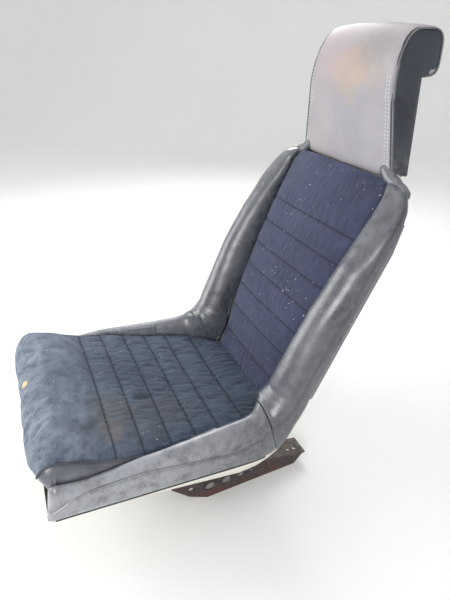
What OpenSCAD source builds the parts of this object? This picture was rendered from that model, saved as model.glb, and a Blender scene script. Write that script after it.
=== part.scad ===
// Fixed-back racing seat: a moulded shell with a built-in headrest, foam and sewn covers,
// carried by two pressed steel side brackets. The seat faces -Y and stands on z = 0.

/* [Overall sizes] */
// Length of the seat surface, from the crease to the front edge
seat_length = 494; // [430:1:600]
// Length of the back surface, from the crease to the headrest seam
back_length = 536; // [440:1:650]
// Width over the side bolsters
overall_width = 476; // [440:1:580]
// Height of the crease between seat and back above the floor
crease_height = 173; // [160:1:215]
// Fall of the seat surface towards the back, in degrees
seat_fall = 11.6; // [8:0.1:16]
// Lean of the back from the vertical, in degrees
back_lean = 25.7; // [18:0.1:34]

/* [Centre panels] */
// Width that the seat panel leaves for each bolster at its front edge
front_margin = 23; // [21:1:48]
// Width that the seat panel leaves for each bolster in its middle
mid_margin = 35; // [28:1:68]
// Width that both panels leave for each bolster at the crease
crease_margin = 101; // [88:1:128]
// Width that the back panel leaves for each bolster at its widest
back_margin = 74; // [58:1:98]
// Distance of the back panel's top corners from the widest line of the seat
top_margin = 87; // [82:1:108]
// Thickness of the pleated covers
cover_thick = 12; // [8:0.5:16]
// Radius of the rolled front edge of the seat
nose_radius = 28; // [16:1:36]
// Reach of the rolled front edge beyond the front of the pan
nose_overhang = 32; // [20:1:44]
// Rise of the rolled front edge above the line of the seat surface
nose_rise = 14; // [0:1:24]

/* [Shell] */
// Wall of the moulded shell
shell_wall = 4; // [2.5:0.1:6]
// Depth of the pan floor below the seat surface
pan_depth = 125; // [110:1:135]
// Depth of the shell behind the back surface
back_depth = 60; // [52:1:72]
// Height of the pan wall at the front
pan_wall_front = 13; // [10:1:24]
// Height of the pan wall at the rear
pan_wall_rear = 48; // [40:1:60]
// Height of the side wall of the back
back_wall = 42; // [34:1:48]
// Radius of the bend between seat and back
bend_radius = 98; // [85:1:125]

/* [Bolsters] */
// Height of the bolsters over the back surface
bolster_height = 58; // [30:1:66]
// Drop of the seat bolster below the seat surface at the front
front_drop = 36; // [20:1:44]
// Gap kept between soft pieces and their neighbours
soft_gap = 0.5; // [0.3:0.1:1]
// Thickness of the vinyl skirts and panels
vinyl_thick = 2.2; // [1.6:0.1:3]
// Radius of the welt cord on the seat edge
welt_radius = 3; // [2:0.5:4]

/* [Headrest] */
// Height of the headrest above its bottom seam
headrest_height = 249; // [210:1:300]
// Distance of the headrest's bottom corners inside the top corners of the back panel
headrest_margin = 2; // [0:0.5:10]
// Distance that each side of the headrest leans in from its bottom seam to its top
headrest_taper = 33; // [5:1:45]
// Thickness of the headrest above its bottom seam
headrest_thick = 44; // [40:1:60]
// Reach of the lip behind the headrest
lip_reach = 44; // [34:1:60]
// Drop of the lip below the headrest top
lip_drop = 79; // [66:1:90]

/* [Side brackets] */
// Distance of the outer face of a bracket inside the widest line of the seat
bracket_margin = 48; // [44:1:58]
// Sheet thickness of the brackets
bracket_thick = 3; // [2:0.5:4]
// Width of the flange under the pan
flange_width = 48; // [40:1:54]
// Length of the bracket foot on the floor
foot_length = 224; // [190:1:250]
// Radius of the bolt hole at the front of the web
web_bolt_radius = 5.5; // [4:0.5:6.5]
// Radius of the largest lightening hole
light_radius = 11.5; // [8:0.5:12]
// Radius of the two bolt holes at the rear of the flange
tail_bolt_radius = 4.25; // [3.5:0.25:5]
// Thread diameter of the bolts that hold the brackets
bolt_d = 8; // [6:1:9]
// Distance between the two bolts of one bracket
bolt_span = 120; // [100:1:140]

/* [Hidden] */
$fn = 32;
lift = 0.3;                 // clearance between parts that lie on each other

// --- half widths, all measured in from the widest line of the seat
half_width = overall_width / 2;
seat_front_half = half_width - front_margin;
seat_mid_half = half_width - mid_margin;
crease_half = half_width - crease_margin;
back_mid_half = half_width - back_margin;
back_top_half = half_width - top_margin;
headrest_bottom_half = back_top_half - headrest_margin;
headrest_top_half = headrest_bottom_half - headrest_taper;
bracket_half = half_width - bracket_margin;

// --- the side view path: seat line, bend, back line, neck and headrest line
headrest_lean = 3;          // forward lean of the headrest
neck_radius = 120;
ang_seat = -seat_fall;
ang_back = 90 - back_lean;
ang_head = 90 + headrest_lean;
bend_turn = ang_back - ang_seat;
neck_turn = ang_head - ang_back;
bend_reach = bend_radius * tan(bend_turn / 2);
neck_reach = neck_radius * tan(neck_turn / 2);

function heading(a) = [cos(a), sin(a)];
function normal(a) = [-sin(a), cos(a)];
neck_point = back_length * heading(ang_back);

// angle of the path at u, the distance from the crease along the surface
function path_angle(u) =
    u < -bend_reach ? ang_seat :
    u < bend_reach ? ang_seat + bend_turn * (u + bend_reach) / (2 * bend_reach) :
    u < back_length - neck_reach ? ang_back :
    u < back_length + neck_reach ?
        ang_back + neck_turn * (u - back_length + neck_reach) / (2 * neck_reach) :
    ang_head;

// point of a rounded corner at c, between headings a and b, for the path angle t
function corner_point(c, a, reach, radius, t) =
    c - reach * heading(a) + radius * normal(a) - radius * normal(t);

function path_point(u) =
    u < -bend_reach ? u * heading(ang_seat) :
    u < bend_reach ? corner_point([0, 0], ang_seat, bend_reach, bend_radius, path_angle(u)) :
    u < back_length - neck_reach ? u * heading(ang_back) :
    u < back_length + neck_reach ?
        corner_point(neck_point, ang_back, neck_reach, neck_radius, path_angle(u)) :
    neck_point + (u - back_length) * heading(ang_head);

// --- headrest outline in the side view
head_base = neck_point + [11, -3];
head_top = head_base[1] + headrest_height;
head_front = head_base[0] - 13;
head_rear = head_base[0] + headrest_thick;
lip_back = head_rear + lip_reach + 8;
crown_rise = 102;
crown_run = 52;
lip_round = 20;

// --- the whole seat is centred over its floor area
front_edge = (nose_radius - seat_length) * cos(seat_fall) + (nose_rise - nose_radius) * sin(seat_fall)
    - nose_radius;
shift_y = -(front_edge + lip_back) / 2;
function place(u, q) =
    let (a = path_angle(u), p = path_point(u) + q[1] * normal(a))
    [q[0], p[0] + shift_y, p[1] + crease_height];

// --- closed skin over a row of sections, each a closed loop of 3-D points; the end caps are
// strips between the points on the two sides of the loop
module loft(rows) {
    n = len(rows[0]);
    m = len(rows);
    points = [for (row = rows) each row];
    sides = [for (i = [0:m - 2]) for (j = [0:n - 1])
        let (k = (j + 1) % n)
        each [[i * n + j, i * n + k, (i + 1) * n + k], [i * n + j, (i + 1) * n + k, (i + 1) * n + j]]];
    caps = [for (j = [0:ceil(n / 2) - 2])
        let (a = j, b = j + 1, c = n - 2 - j, d = n - 1 - j, e = (m - 1) * n)
        each (c == b ? [[a, d, b], [e + a, e + b, e + d]] :
            [[a, c, b], [a, d, c], [e + a, e + b, e + c], [e + a, e + c, e + d]])];
    polyhedron(points, concat(sides, caps), convexity = 8);
}

// --- stations along the path, close together where it bends
function stations(from, to, count) = [for (i = [0:count]) from + (to - from) * i / count];
function smooth(t) = let (c = min(1, max(0, t))) c * c * (3 - 2 * c);
function blend(u, from, to, a, b) = a + (b - a) * smooth((u - from) / (to - from));

// --- sizes that change along the path
front_u = -seat_length + nose_overhang;
function panel_half(u) = u < 0 ?
    lookup(u, [[-seat_length, seat_front_half], [-0.6 * seat_length, (seat_front_half + seat_mid_half) / 2],
        [-0.4 * seat_length, seat_mid_half], [-0.2 * seat_length, seat_mid_half - 13],
        [-0.09 * seat_length, seat_mid_half - 30], [0, crease_half]]) :
    lookup(u, [[0, crease_half], [0.22 * back_length, back_mid_half - 15],
        [0.5 * back_length, back_mid_half - 5], [0.7 * back_length, back_mid_half],
        [0.9 * back_length, back_mid_half], [back_length, back_top_half]]);
function crest(u) =
    lookup(u, [[-0.8 * seat_length, -front_drop], [-0.6 * seat_length, -0.25 * front_drop],
        [-0.4 * seat_length, 0.16 * bolster_height], [-0.2 * seat_length, 0.5 * bolster_height],
        [-0.08 * seat_length, 0.8 * bolster_height], [0.06 * back_length, bolster_height],
        [0.58 * back_length, bolster_height], [0.73 * back_length, 0.8 * bolster_height],
        [0.85 * back_length, 0.47 * bolster_height], [0.94 * back_length, 0.26 * bolster_height],
        [back_length, 0.06 * bolster_height]]);
function outer_half(u) =
    lookup(u, [[0, half_width], [0.8 * back_length, half_width - 2], [0.915 * back_length, half_width - 14],
        [0.966 * back_length, half_width - 33], [back_length, back_top_half + 26]]);
rim_gap = 4;                            // from the rim of the pan up to the covers
rim_end_u = -0.6 * bend_reach;          // end of the straight rim of the pan
function rim_share(u) = lookup(u / bend_reach, [[-1.4, 0], [-0.6, 0.12], [-0.3, 0.24], [0, 0.52], [0.26, 0.76],
    [0.6, 0.9], [1.05, 1]]);
function rim(u) = u < -1.4 * bend_reach ?
    lookup(u, [[front_u, pan_wall_front - pan_depth], [-1.4 * bend_reach, pan_wall_rear - pan_depth]]) :
    pan_wall_rear - pan_depth + rim_share(u) * (back_wall - back_depth - pan_wall_rear + pan_depth);
function depth_share(u) = lookup(u / bend_reach, [[-1, 0], [-0.7, 0.08], [-0.4, 0.25], [0, 0.6], [0.5, 0.88],
    [0.9, 1]]);
function floor_depth(u) = pan_depth + depth_share(u) * (back_depth - pan_depth);
neck_half = headrest_bottom_half - 26;
function shell_half(u) = u < back_length - 20 ?
    min(half_width - 12, outer_half(u) - 10) :
    blend(u, back_length - 20, back_length + 24, outer_half(back_length - 20) - 10, neck_half);
function corner_run(u) = blend(u, -bend_reach, 0.9 * bend_reach, 26, 104);

// depth of the shell's inner face at the distance x from the middle
function floor_at(u, x) =
    let (w = shell_half(u) - shell_wall, r = corner_run(u) - shell_wall, t = (x - w + r) / r,
        h = rim(u) + floor_depth(u) - shell_wall)
    rim(u) - h * (t <= 0 ? 1 : sqrt(max(0, 1 - t * t)));

// one edge of the shell's section, from the right rim round the floor to the left rim
arc_steps = 5;
function shell_edge(w, run, top, bottom) =
    let (right = [for (i = [0:arc_steps]) let (a = 90 * i / arc_steps)
        [w - run + run * cos(a), top - (top - bottom) * sin(a)]])
    concat(right, [for (i = [arc_steps:-1:0]) [-right[i][0], right[i][1]]]);
function shell_section(w, run, top, bottom, wall, inner_bottom) =
    let (outer = shell_edge(w, run, top, bottom),
        inner = shell_edge(w - wall, run - wall, top, inner_bottom))
    concat(outer, [for (i = [len(inner) - 1:-1:0]) inner[i]]);

// section of a soft piece between the lines n = low and n = high
function box_section(x1, x2, low, high, round) = [
    [x2, low], [x2, high - round], [x2 - round, high], [x1 + round, high], [x1, high - round], [x1, low]
];

// --- frames that follow the straight seat line and the straight back line
function on_line(a, u, q) =
    let (p = u * heading(a) + q[1] * normal(a)) [q[0], p[0] + shift_y, p[1] + crease_height];
module on_pan() {
    translate([0, shift_y, crease_height])
        rotate([ang_seat, 0, 0])
            children();
}
module mirrored() {
    children();
    mirror([1, 0, 0])
        children();
}

// --- colours
vinyl_colour = [0.22, 0.23, 0.25];
fabric_colour = [0.16, 0.18, 0.27];
foam_colour = [0.85, 0.75, 0.45];
steel_colour = [0.32, 0.22, 0.18];
zinc_colour = [0.6, 0.6, 0.58];

// --- shell: one moulding from the front of the pan to the core of the headrest
shell_top_u = back_length + headrest_height - 95;
core_front = -27;
core_back = -37;
neck_from = back_length - 64;
neck_to = back_length + 20;
function shell_rim(u) = u < neck_from ? rim(u) : blend(u, neck_from, neck_to, rim(u), core_front);
function shell_back(u) =
    u < neck_from ? -floor_depth(u) : blend(u, neck_from, neck_to, -floor_depth(u), core_back);
function shell_run(u) = u < neck_from ? corner_run(u) : blend(u, neck_from, neck_to, corner_run(u), 12);
function shell_thick(u) = u < neck_from ? shell_wall : blend(u, neck_from, neck_to, shell_wall, 6);

function shell_row(u, solid) =
    let (top = shell_rim(u), bottom = shell_back(u),
        inner = solid ? top - 0.5 : bottom + shell_thick(u))
    [for (q = shell_section(shell_half(u), shell_run(u), top, bottom, shell_wall, inner)) place(u, q)];
shell_u = concat(stations(front_u + shell_wall + 1, -bend_reach, 4),
    stations(-bend_reach + 22, bend_reach - 22, 7), stations(bend_reach, neck_from, 5),
    stations(neck_from + 21, neck_to, 3), stations(neck_to + 50, shell_top_u, 1));

bolt_x = bracket_half - flange_width / 2;
bolt_rear_u = -bend_reach - 14;
bolt_u = [bolt_rear_u, bolt_rear_u - bolt_span];
bolt_hole = bolt_d / 2 + 0.5;
module at_bolts() {
    on_pan()
        for (u = bolt_u)
            mirrored()
                translate([bolt_x, u, 0])
                    children();
}

module shell() {
    color([0.86, 0.84, 0.76])
        difference() {
            loft(concat([shell_row(front_u, true), shell_row(front_u + shell_wall, true)],
                [for (u = shell_u) shell_row(u, false)]));
            at_bolts()
                translate([0, 0, -pan_depth - 5])
                    cylinder(r = bolt_hole, h = 20);
        }
}

// --- black rubber channel on the rim of the pan
trim_end_u = rim_end_u;
trim_reach = 6;
trim_width = 8;             // width of the channel inside the front wall
function channel(w, wall, top) = [
    [w + 2.4, top - trim_reach], [w + 2.4, top + 2.4], [w - wall - 2.8, top + 2.4],
    [w - wall - 2.8, top - trim_reach], [w - wall - 0.8, top - trim_reach], [w - wall - 0.8, top + lift],
    [w + lift, top + lift], [w + lift, top - trim_reach]
];
trim_u = concat(stations(front_u + 9, -1.4 * bend_reach, 3), stations(-bend_reach, trim_end_u, 3));
module edge_trim_left() {
    color([0.07, 0.07, 0.07])
        loft([for (u = trim_u)
            [for (q = channel(shell_half(u), shell_wall, rim(u))) place(u, q)]]);
}
module edge_trim_right() {
    mirror([1, 0, 0])
        edge_trim_left();
}
module edge_trim_front() {
    color([0.07, 0.07, 0.07])
        on_pan()
            rotate([90, 0, 90])
                linear_extrude(height = 2 * shell_half(front_u) - 8, center = true)
                    translate([front_u, rim(front_u)])
                        polygon([[-2.4, -trim_reach], [-2.4, 2.4], [trim_width, 2.4], [trim_width, -trim_reach],
                            [trim_width - 2.6, -trim_reach], [trim_width - 2.6, lift], [-lift, lift],
                            [-lift, -trim_reach]]);
}

// --- foam
nose_u = -seat_length + nose_radius;
nose_face = 34;
function rise(u) = nose_rise * smooth((-u - 0.62 * seat_length) / (0.3 * seat_length));
function inner_row(u) =
    let (w = shell_half(u) - shell_wall - soft_gap, top = shell_rim(u))
    [for (q = concat([[w, 60]], shell_edge(w, corner_run(u) - shell_wall - soft_gap, top,
        shell_back(u) + shell_wall + soft_gap), [[-w, 60]])) place(u, q)];
foam_side = 8;
foam_end = 16;
head_h = 0.66 * bolt_d;
plate_thick = 3;
washer_thick = 1.6;
plate_low = -pan_depth + shell_wall + lift;
plate_high = plate_low + plate_thick;

function foam_low(u) =
    let (t = max(0, (u + bend_reach) / (bend_reach - foam_end)))
    -pan_depth + shell_wall + 1 + 0.17 * pan_depth * t * t;
function foam_section(w, low, high, round) = [
    [w - round, low], [w, low + round], [w, high - round], [w - round, high],
    [round - w, high], [-w, high - round], [-w, low + round], [round - w, low]
];
// the foam ends in a rounded nose that fills the rolled front edge above the rim of the pan
nose_fill = nose_radius - cover_thick - soft_gap;
skirt_top = -nose_radius - nose_face - 4;   // upper edge of the front skirt
nose_low = skirt_top + soft_gap;
nose_middle = rise(nose_u) - nose_radius;
nose_rows = [for (t = [72:-18:0]) [nose_u - nose_fill * sin(t), blend(t, -1, 90, nose_low, nose_middle - 4),
    nose_middle + nose_fill * cos(t), 4]];
foam_front = front_u + trim_width + soft_gap;
foam_u = concat(stations(foam_front, -bend_reach, 10), stations(-bend_reach + 15, -foam_end, 3));
foam_rows = [for (u = foam_u) [u, foam_low(u), rise(u) - cover_thick - soft_gap, 10]];
foam_step = [foam_rows[0][0] - 1, nose_low, foam_rows[0][2], 4];
module seat_foam() {
    color(foam_colour)
        difference() {
            loft([for (row = concat(nose_rows, [foam_step], foam_rows))
                [for (q = foam_section(panel_half(row[0]) - foam_side, row[1], row[2], row[3]))
                    on_line(ang_seat, row[0], q)]]);
            on_pan()
                mirrored()
                    translate([bolt_x - 27, bolt_rear_u - bolt_span - 32, plate_low - 8])
                        cube([60, bolt_span + 64, plate_thick + head_h + 12]);
        }
}

back_foam_top = back_length - 12;
module back_foam() {
    color(foam_colour)
        intersection() {
            loft([for (u = stations(foam_end + 10, back_foam_top, 7))
                [for (q = box_section(-panel_half(u) + foam_side, panel_half(u) - foam_side,
                    -back_depth - 60, -cover_thick - soft_gap, 8)) on_line(ang_back, u, q)]]);
            loft([for (u = stations(-bend_reach, back_foam_top + 6, 16)) inner_row(u)]);
        }
}

// --- centre panels
function slab(w, thick) = [
    [w, 1 - thick], [w, -thick / 3], [w - thick / 3, 0], [thick / 3 - w, 0], [-w, -thick / 3], [-w, 1 - thick]
];
function nose_point(turn, drop, q) =
    let (a = ang_seat + turn,
        p = nose_u * heading(ang_seat) + (rise(nose_u) - nose_radius) * normal(ang_seat)
            + (nose_radius + q[1]) * normal(a) - drop * heading(a))
    [q[0], p[0] + shift_y, p[1] + crease_height];
module seat_cover() {
    front = slab(seat_front_half - 1, cover_thick);
    color(fabric_colour)
        loft(concat([[for (q = front) nose_point(100, nose_face, q)]],
            [for (turn = [100:-20:20]) [for (q = front) nose_point(turn, 0, q)]],
            [for (u = stations(nose_u, -1, 12)) [for (q = slab(panel_half(u) - 1, cover_thick))
                on_line(ang_seat, u, q + [0, rise(u)])]]));
}
module back_cover() {
    color(fabric_colour)
        loft([for (u = stations(1, back_length - 2, 9))
            [for (q = slab(panel_half(u) - 1, cover_thick)) on_line(ang_back, u, q)]]);
}

// --- bolsters: an outer roll on a foam body that stands in the shell
cross_u = -0.38 * bend_reach;              // cross seam between seat bolster and back bolster
seam_gap = 0.4;
bolster_from = front_u + 4;
bolster_to = back_length - 4;
function side_seam(u) =
    lookup(u, [[-seat_length, -front_drop - 50], [-0.9 * seat_length, -front_drop - 30],
        [-0.78 * seat_length, -front_drop - 11], [-0.6 * seat_length, -34], [-0.22 * seat_length, -34],
        [-0.12 * seat_length, -12], [0.5 * bend_reach, 14], [back_length, 14]]);
function bolster_inner(u) = panel_half(u) + 1.5;
function bolster_section(u) =
    let (x1 = bolster_inner(u), x2 = outer_half(u), a = (x2 - x1) / 2, b = min(a, 40), xc = (x1 + x2) / 2,
        nc = crest(u) - b, low = shell_rim(u) + rim_gap, seam = min(side_seam(u), nc - 2),
        skin = x2 - vinyl_thick - 0.2, w = max(x1 + 2, shell_half(u) - shell_wall - 1))
    concat(
        [[x1, min(floor_at(u, x1) + 1, nc - 6)], [x1, nc]],
        [for (t = [150:-30:30]) [xc + a * cos(t), nc + b * sin(t)]],
        [[x2, nc], [x2, seam + 0.2], [skin, seam], [skin, low], [w, low]],
        [for (k = [0.75, 0.5, 0.25]) let (x = x1 + (w - x1) * k) [x, min(low, floor_at(u, x) + 1)]]
    );
module bolster(from, to, count) {
    color(vinyl_colour)
        loft([for (u = stations(from, to, count)) [for (q = bolster_section(u)) place(u, q)]]);
}
module seat_bolster_left() {
    bolster(bolster_from, cross_u - seam_gap, 15);
}
module seat_bolster_right() {
    mirror([1, 0, 0])
        seat_bolster_left();
}
module back_bolster_left() {
    bolster(cross_u + seam_gap, bolster_to, 20);
}
module back_bolster_right() {
    mirror([1, 0, 0])
        back_bolster_left();
}

// --- vinyl skirts and panels outside the bolster bodies
function skirt_section(u) =
    let (x = outer_half(u), low = shell_rim(u) + rim_gap,
        a = (x - bolster_inner(u)) / 2, high = min(side_seam(u), crest(u) - min(a, 40) - 2) - lift)
    [[x, low], [x, high], [x - vinyl_thick, high], [x - vinyl_thick, low]];
module skirt(from, to, count) {
    color(vinyl_colour)
        loft([for (u = stations(from, to, count)) [for (q = skirt_section(u)) place(u, q)]]);
}
module side_skirt_left() {
    skirt(bolster_from, cross_u - seam_gap, 15);
}
module side_skirt_right() {
    mirror([1, 0, 0])
        side_skirt_left();
}
module side_panel_left() {
    skirt(cross_u + seam_gap, 0.9 * back_length, 18);
}
module side_panel_right() {
    mirror([1, 0, 0])
        side_panel_left();
}
module front_skirt() {
    low = rim(front_u) + rim_gap;
    color(vinyl_colour)
        on_pan()
            translate([1 - half_width, front_u + 1, low])
                cube([2 * half_width - 2, vinyl_thick, skirt_top - low]);
}

// --- crescent of vinyl at each end of the rolled front edge
gusset_rear_u = -0.64 * seat_length;
module nose_gusset_left() {
    color(vinyl_colour)
        loft([for (u = stations(bolster_from, gusset_rear_u, 4))
            let (x = panel_half(u) - foam_side + 1, low = crest(u) - 12, high = rise(u) - cover_thick - 0.4)
            [for (q = [[x, low], [x + vinyl_thick, low], [x + vinyl_thick, high], [x, high]])
                on_line(ang_seat, u, q)]]);
}
module nose_gusset_right() {
    mirror([1, 0, 0])
        nose_gusset_left();
}

// --- welt cord along each edge of the seat panel
module seat_welt_left() {
    color([0.1, 0.1, 0.13])
        loft([for (u = stations(nose_u, -24, 10))
            [for (t = [0:45:315]) on_line(ang_seat, u,
                [panel_half(u) - welt_radius - 1 + welt_radius * cos(t),
                    rise(u) + welt_radius + lift + welt_radius * sin(t)])]]);
}
module seat_welt_right() {
    mirror([1, 0, 0])
        seat_welt_left();
}

// --- headrest, drawn as an outline in the side view and cut to its taper
function arc(c, ra, rb, from, to, count) =
    [for (i = [0:count]) let (t = from + (to - from) * i / count) c + [ra * cos(t), rb * sin(t)]];
head_lip = head_top - lip_drop;
rear_lean = 12;
function head_outline(e) = concat(
    [[head_rear - e, head_base[1]], [head_base[0] + e, head_base[1]]],
    arc([head_front + crown_run, head_top - crown_rise], crown_run - e, crown_rise - e, 180, 90, 8),
    arc([lip_back - lip_round, head_top - lip_round], lip_round - e, lip_round - e, 90, 0, 5),
    arc([lip_back - lip_round - 3, head_lip + lip_round], lip_round - e, lip_round - e, 0, -90, 5),
    [[head_rear + rear_lean - e, head_lip + e]]
);
module side_view(length) {
    translate([0, shift_y, crease_height])
        rotate([90, 0, 90])
            linear_extrude(height = length, center = true)
                children();
}
module head_solid(e) {
    side_view(2 * half_width)
        polygon(head_outline(e));
}
module head_taper(e) {
    slope = (headrest_bottom_half - headrest_top_half) / headrest_height;
    low = headrest_bottom_half + 20 * slope - e;
    high = headrest_top_half - 20 * slope - e;
    translate([0, shift_y + head_front, crease_height + head_base[1]])
        rotate([90, 0, 0])
            linear_extrude(height = 600, center = true)
                polygon([[-low, -20], [low, -20], [high, headrest_height + 20], [-high, headrest_height + 20]]);
}
module rear_zone(e) {
    side_view(2 * half_width)
        polygon([[(head_front + head_rear) / 2, head_base[1] - 1], [lip_back + 1, head_base[1] - 1],
            [lip_back + 1, head_lip - e], [(head_front + head_rear) / 2, head_lip - e]]);
}
module headrest_foam() {
    color(foam_colour)
        difference() {
            intersection() {
                head_solid(vinyl_thick + lift);
                head_taper(vinyl_thick + lift);
            }
            loft([for (u = concat(stations(neck_from, neck_to, 6), [shell_top_u + 2]))
                let (w = max(shell_half(u), neck_half) + 1, low = shell_back(u) - 1, high = shell_rim(u) + 1)
                [for (q = [[w, low], [w, high], [-w, high], [-w, low]]) place(u, q)]]);
        }
}
module head_skin() {
    intersection() {
        difference() {
            head_solid(0);
            head_solid(vinyl_thick);
        }
        head_taper(vinyl_thick);
    }
}
module headrest_front_cover() {
    color([0.42, 0.41, 0.43])
        difference() {
            head_skin();
            rear_zone(0);
        }
}
module headrest_rear_cover() {
    color(vinyl_colour)
        intersection() {
            head_skin();
            rear_zone(lift);
        }
}
module headrest_side_left() {
    color([0.13, 0.14, 0.18])
        difference() {
            intersection() {
                head_solid(0);
                head_taper(0);
            }
            head_taper(vinyl_thick);
            translate([-2 * half_width, -1000, 0])
                cube([2 * half_width, 2000, 2000]);
        }
}
module headrest_side_right() {
    mirror([1, 0, 0])
        headrest_side_left();
}

// --- vinyl panel over the outside of the back
panel_from = bend_reach + 4;
panel_to = neck_from;
module back_panel() {
    color(vinyl_colour)
        loft([for (u = stations(panel_from, panel_to, 7))
            let (out = vinyl_thick + lift, bottom = shell_back(u) - out)
            [for (q = shell_section(shell_half(u) + out, corner_run(u) + out, shell_rim(u), bottom,
                vinyl_thick, bottom + vinyl_thick)) place(u, q)]]);
}

// --- listing wires pull both covers down into the crease, tied by rings
wire_r = 1.5;
ring_r = 0.8;
wire_gap = 2.1;
wire_depth = 19;
ring_count = 5;
crease_angle = (ang_seat + ang_back) / 2;
wire_centre = -wire_depth * normal(crease_angle);
module in_crease() {
    translate([0, shift_y + wire_centre[0], crease_height + wire_centre[1]])
        children();
}
module listing_wires() {
    color(zinc_colour)
        in_crease()
            for (side = [-1, 1])
                translate([0, side * wire_gap * cos(crease_angle), side * wire_gap * sin(crease_angle)])
                    rotate([0, 90, 0])
                        cylinder(r = wire_r, h = 2 * crease_half - 50, center = true);
}
module hog_rings() {
    spacing = (2 * crease_half - 80) / (ring_count - 1);
    color(zinc_colour)
        in_crease()
            for (i = [0:ring_count - 1])
                translate([(i - (ring_count - 1) / 2) * spacing, 0, 0])
                    rotate([0, 90, 0])
                        rotate_extrude()
                            translate([wire_gap + wire_r + ring_r + lift, 0])
                                circle(r = ring_r);
}

// --- side brackets: a web on the floor and a flange along the underside of the pan
flange_high = -pan_depth - lift;
flange_low = flange_high - bracket_thick;
flange_front_u = bolt_u[1] - 18;
flange_rear_u = bend_reach + 40;
foot_rear = on_line(ang_seat, flange_rear_u, [0, flange_low])[1] - 29;
foot_front = foot_rear - foot_length;
web_high = flange_low + bracket_thick / 2;      // the web runs into the flange to half its thickness
web_front = on_line(ang_seat, flange_front_u + 0.5, [0, web_high]);
web_rear = on_line(ang_seat, flange_rear_u - 6, [0, web_high]);
hole_line = 34;
tail_u = [flange_rear_u - 22, flange_rear_u - 40];
// holes along the web: distance from the front of the foot, height, radius, width of the raised lip
web_holes = [
    [-37, hole_line + 11, web_bolt_radius, 0], [7, hole_line, light_radius, 3],
    [47, hole_line, light_radius, 2], [81, hole_line - 1, 0.7 * light_radius, 2],
    [109, hole_line - 2, web_bolt_radius - 1, 0]
];
module web_outline() {
    polygon([[foot_front, 0], [foot_rear, 0], [web_rear[1], web_rear[2]], [web_front[1], web_front[2]],
        [web_front[1] + 4, 0.7 * web_front[2]], [foot_front - 42, 0.26 * web_front[2]]]);
}
module bracket_left() {
    color(steel_colour)
        difference() {
            union() {
                translate([bracket_half - bracket_thick, 0, 0])
                    rotate([90, 0, 90])
                        linear_extrude(height = bracket_thick)
                            web_outline();
                on_pan()
                    translate([bracket_half - flange_width, flange_front_u, flange_low])
                        cube([flange_width, flange_rear_u - flange_front_u, bracket_thick]);
                for (h = web_holes)
                    if (h[3] > 0)
                        translate([bracket_half - bracket_thick, foot_front + h[0], h[1]])
                            rotate([0, 90, 0])
                                cylinder(r = h[2] + h[3], h = bracket_thick + 2);
            }
            for (h = web_holes)
                translate([bracket_half - 10, foot_front + h[0], h[1]])
                    rotate([0, 90, 0])
                        cylinder(r = h[2], h = 20);
            on_pan()
                for (u = tail_u)
                    translate([bracket_half - 17, u, flange_low - 5])
                        cylinder(r = tail_bolt_radius, h = 20);
            on_pan()
                for (u = bolt_u)
                    translate([bolt_x, u, flange_low - 5])
                        cylinder(r = bolt_hole, h = 20);
        }
}
module bracket_right() {
    mirror([1, 0, 0])
        bracket_left();
}

// --- steel plates that spread the bolt load inside the pan
plate_width = 40;
module load_plate_left() {
    color(zinc_colour)
        on_pan()
            difference() {
                translate([bolt_x - plate_width / 2, bolt_u[1] - 22, plate_low])
                    cube([plate_width, bolt_span + 44, plate_thick]);
                for (u = bolt_u)
                    translate([bolt_x, u, plate_low - 5])
                        cylinder(r = bolt_hole, h = 20);
            }
}
module load_plate_right() {
    mirror([1, 0, 0])
        load_plate_left();
}

// --- bolts, washers and nuts
head_r = 0.94 * bolt_d;
nut_h = 0.8 * bolt_d;
washer_high = flange_low - lift / 3;
washer_low = washer_high - washer_thick;
nut_low = washer_low - lift / 3 - nut_h;
thread_past_nut = 4;
module bracket_bolts() {
    color(zinc_colour)
        at_bolts() {
            translate([0, 0, plate_high + lift / 3])
                cylinder(r = head_r, h = head_h, $fn = 6);
            translate([0, 0, nut_low - thread_past_nut])
                cylinder(r = bolt_d / 2, h = plate_high + 1 - nut_low + thread_past_nut);
        }
}
module bracket_washers() {
    color(zinc_colour)
        at_bolts()
            translate([0, 0, washer_low])
                difference() {
                    cylinder(r = bolt_d, h = washer_thick);
                    translate([0, 0, -1])
                        cylinder(r = bolt_d / 2 + 0.3, h = washer_thick + 2);
                }
}
module bracket_nuts() {
    color(zinc_colour)
        at_bolts()
            translate([0, 0, nut_low])
                difference() {
                    cylinder(r = head_r, h = nut_h, $fn = 6);
                    translate([0, 0, -1])
                        cylinder(r = bolt_d / 2 + 0.05, h = nut_h + 2);
                }
}

shell();
edge_trim_left();
edge_trim_right();
edge_trim_front();
seat_foam();
back_foam();
seat_cover();
back_cover();
seat_bolster_left();
seat_bolster_right();
back_bolster_left();
back_bolster_right();
side_skirt_left();
side_skirt_right();
front_skirt();
side_panel_left();
side_panel_right();
nose_gusset_left();
nose_gusset_right();
seat_welt_left();
seat_welt_right();
headrest_foam();
headrest_front_cover();
headrest_rear_cover();
headrest_side_left();
headrest_side_right();
back_panel();
listing_wires();
hog_rings();
bracket_left();
bracket_right();
load_plate_left();
load_plate_right();
bracket_bolts();
bracket_washers();
bracket_nuts();
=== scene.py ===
"""A fixed-back racing seat: padded covers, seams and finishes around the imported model."""
import math

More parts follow.
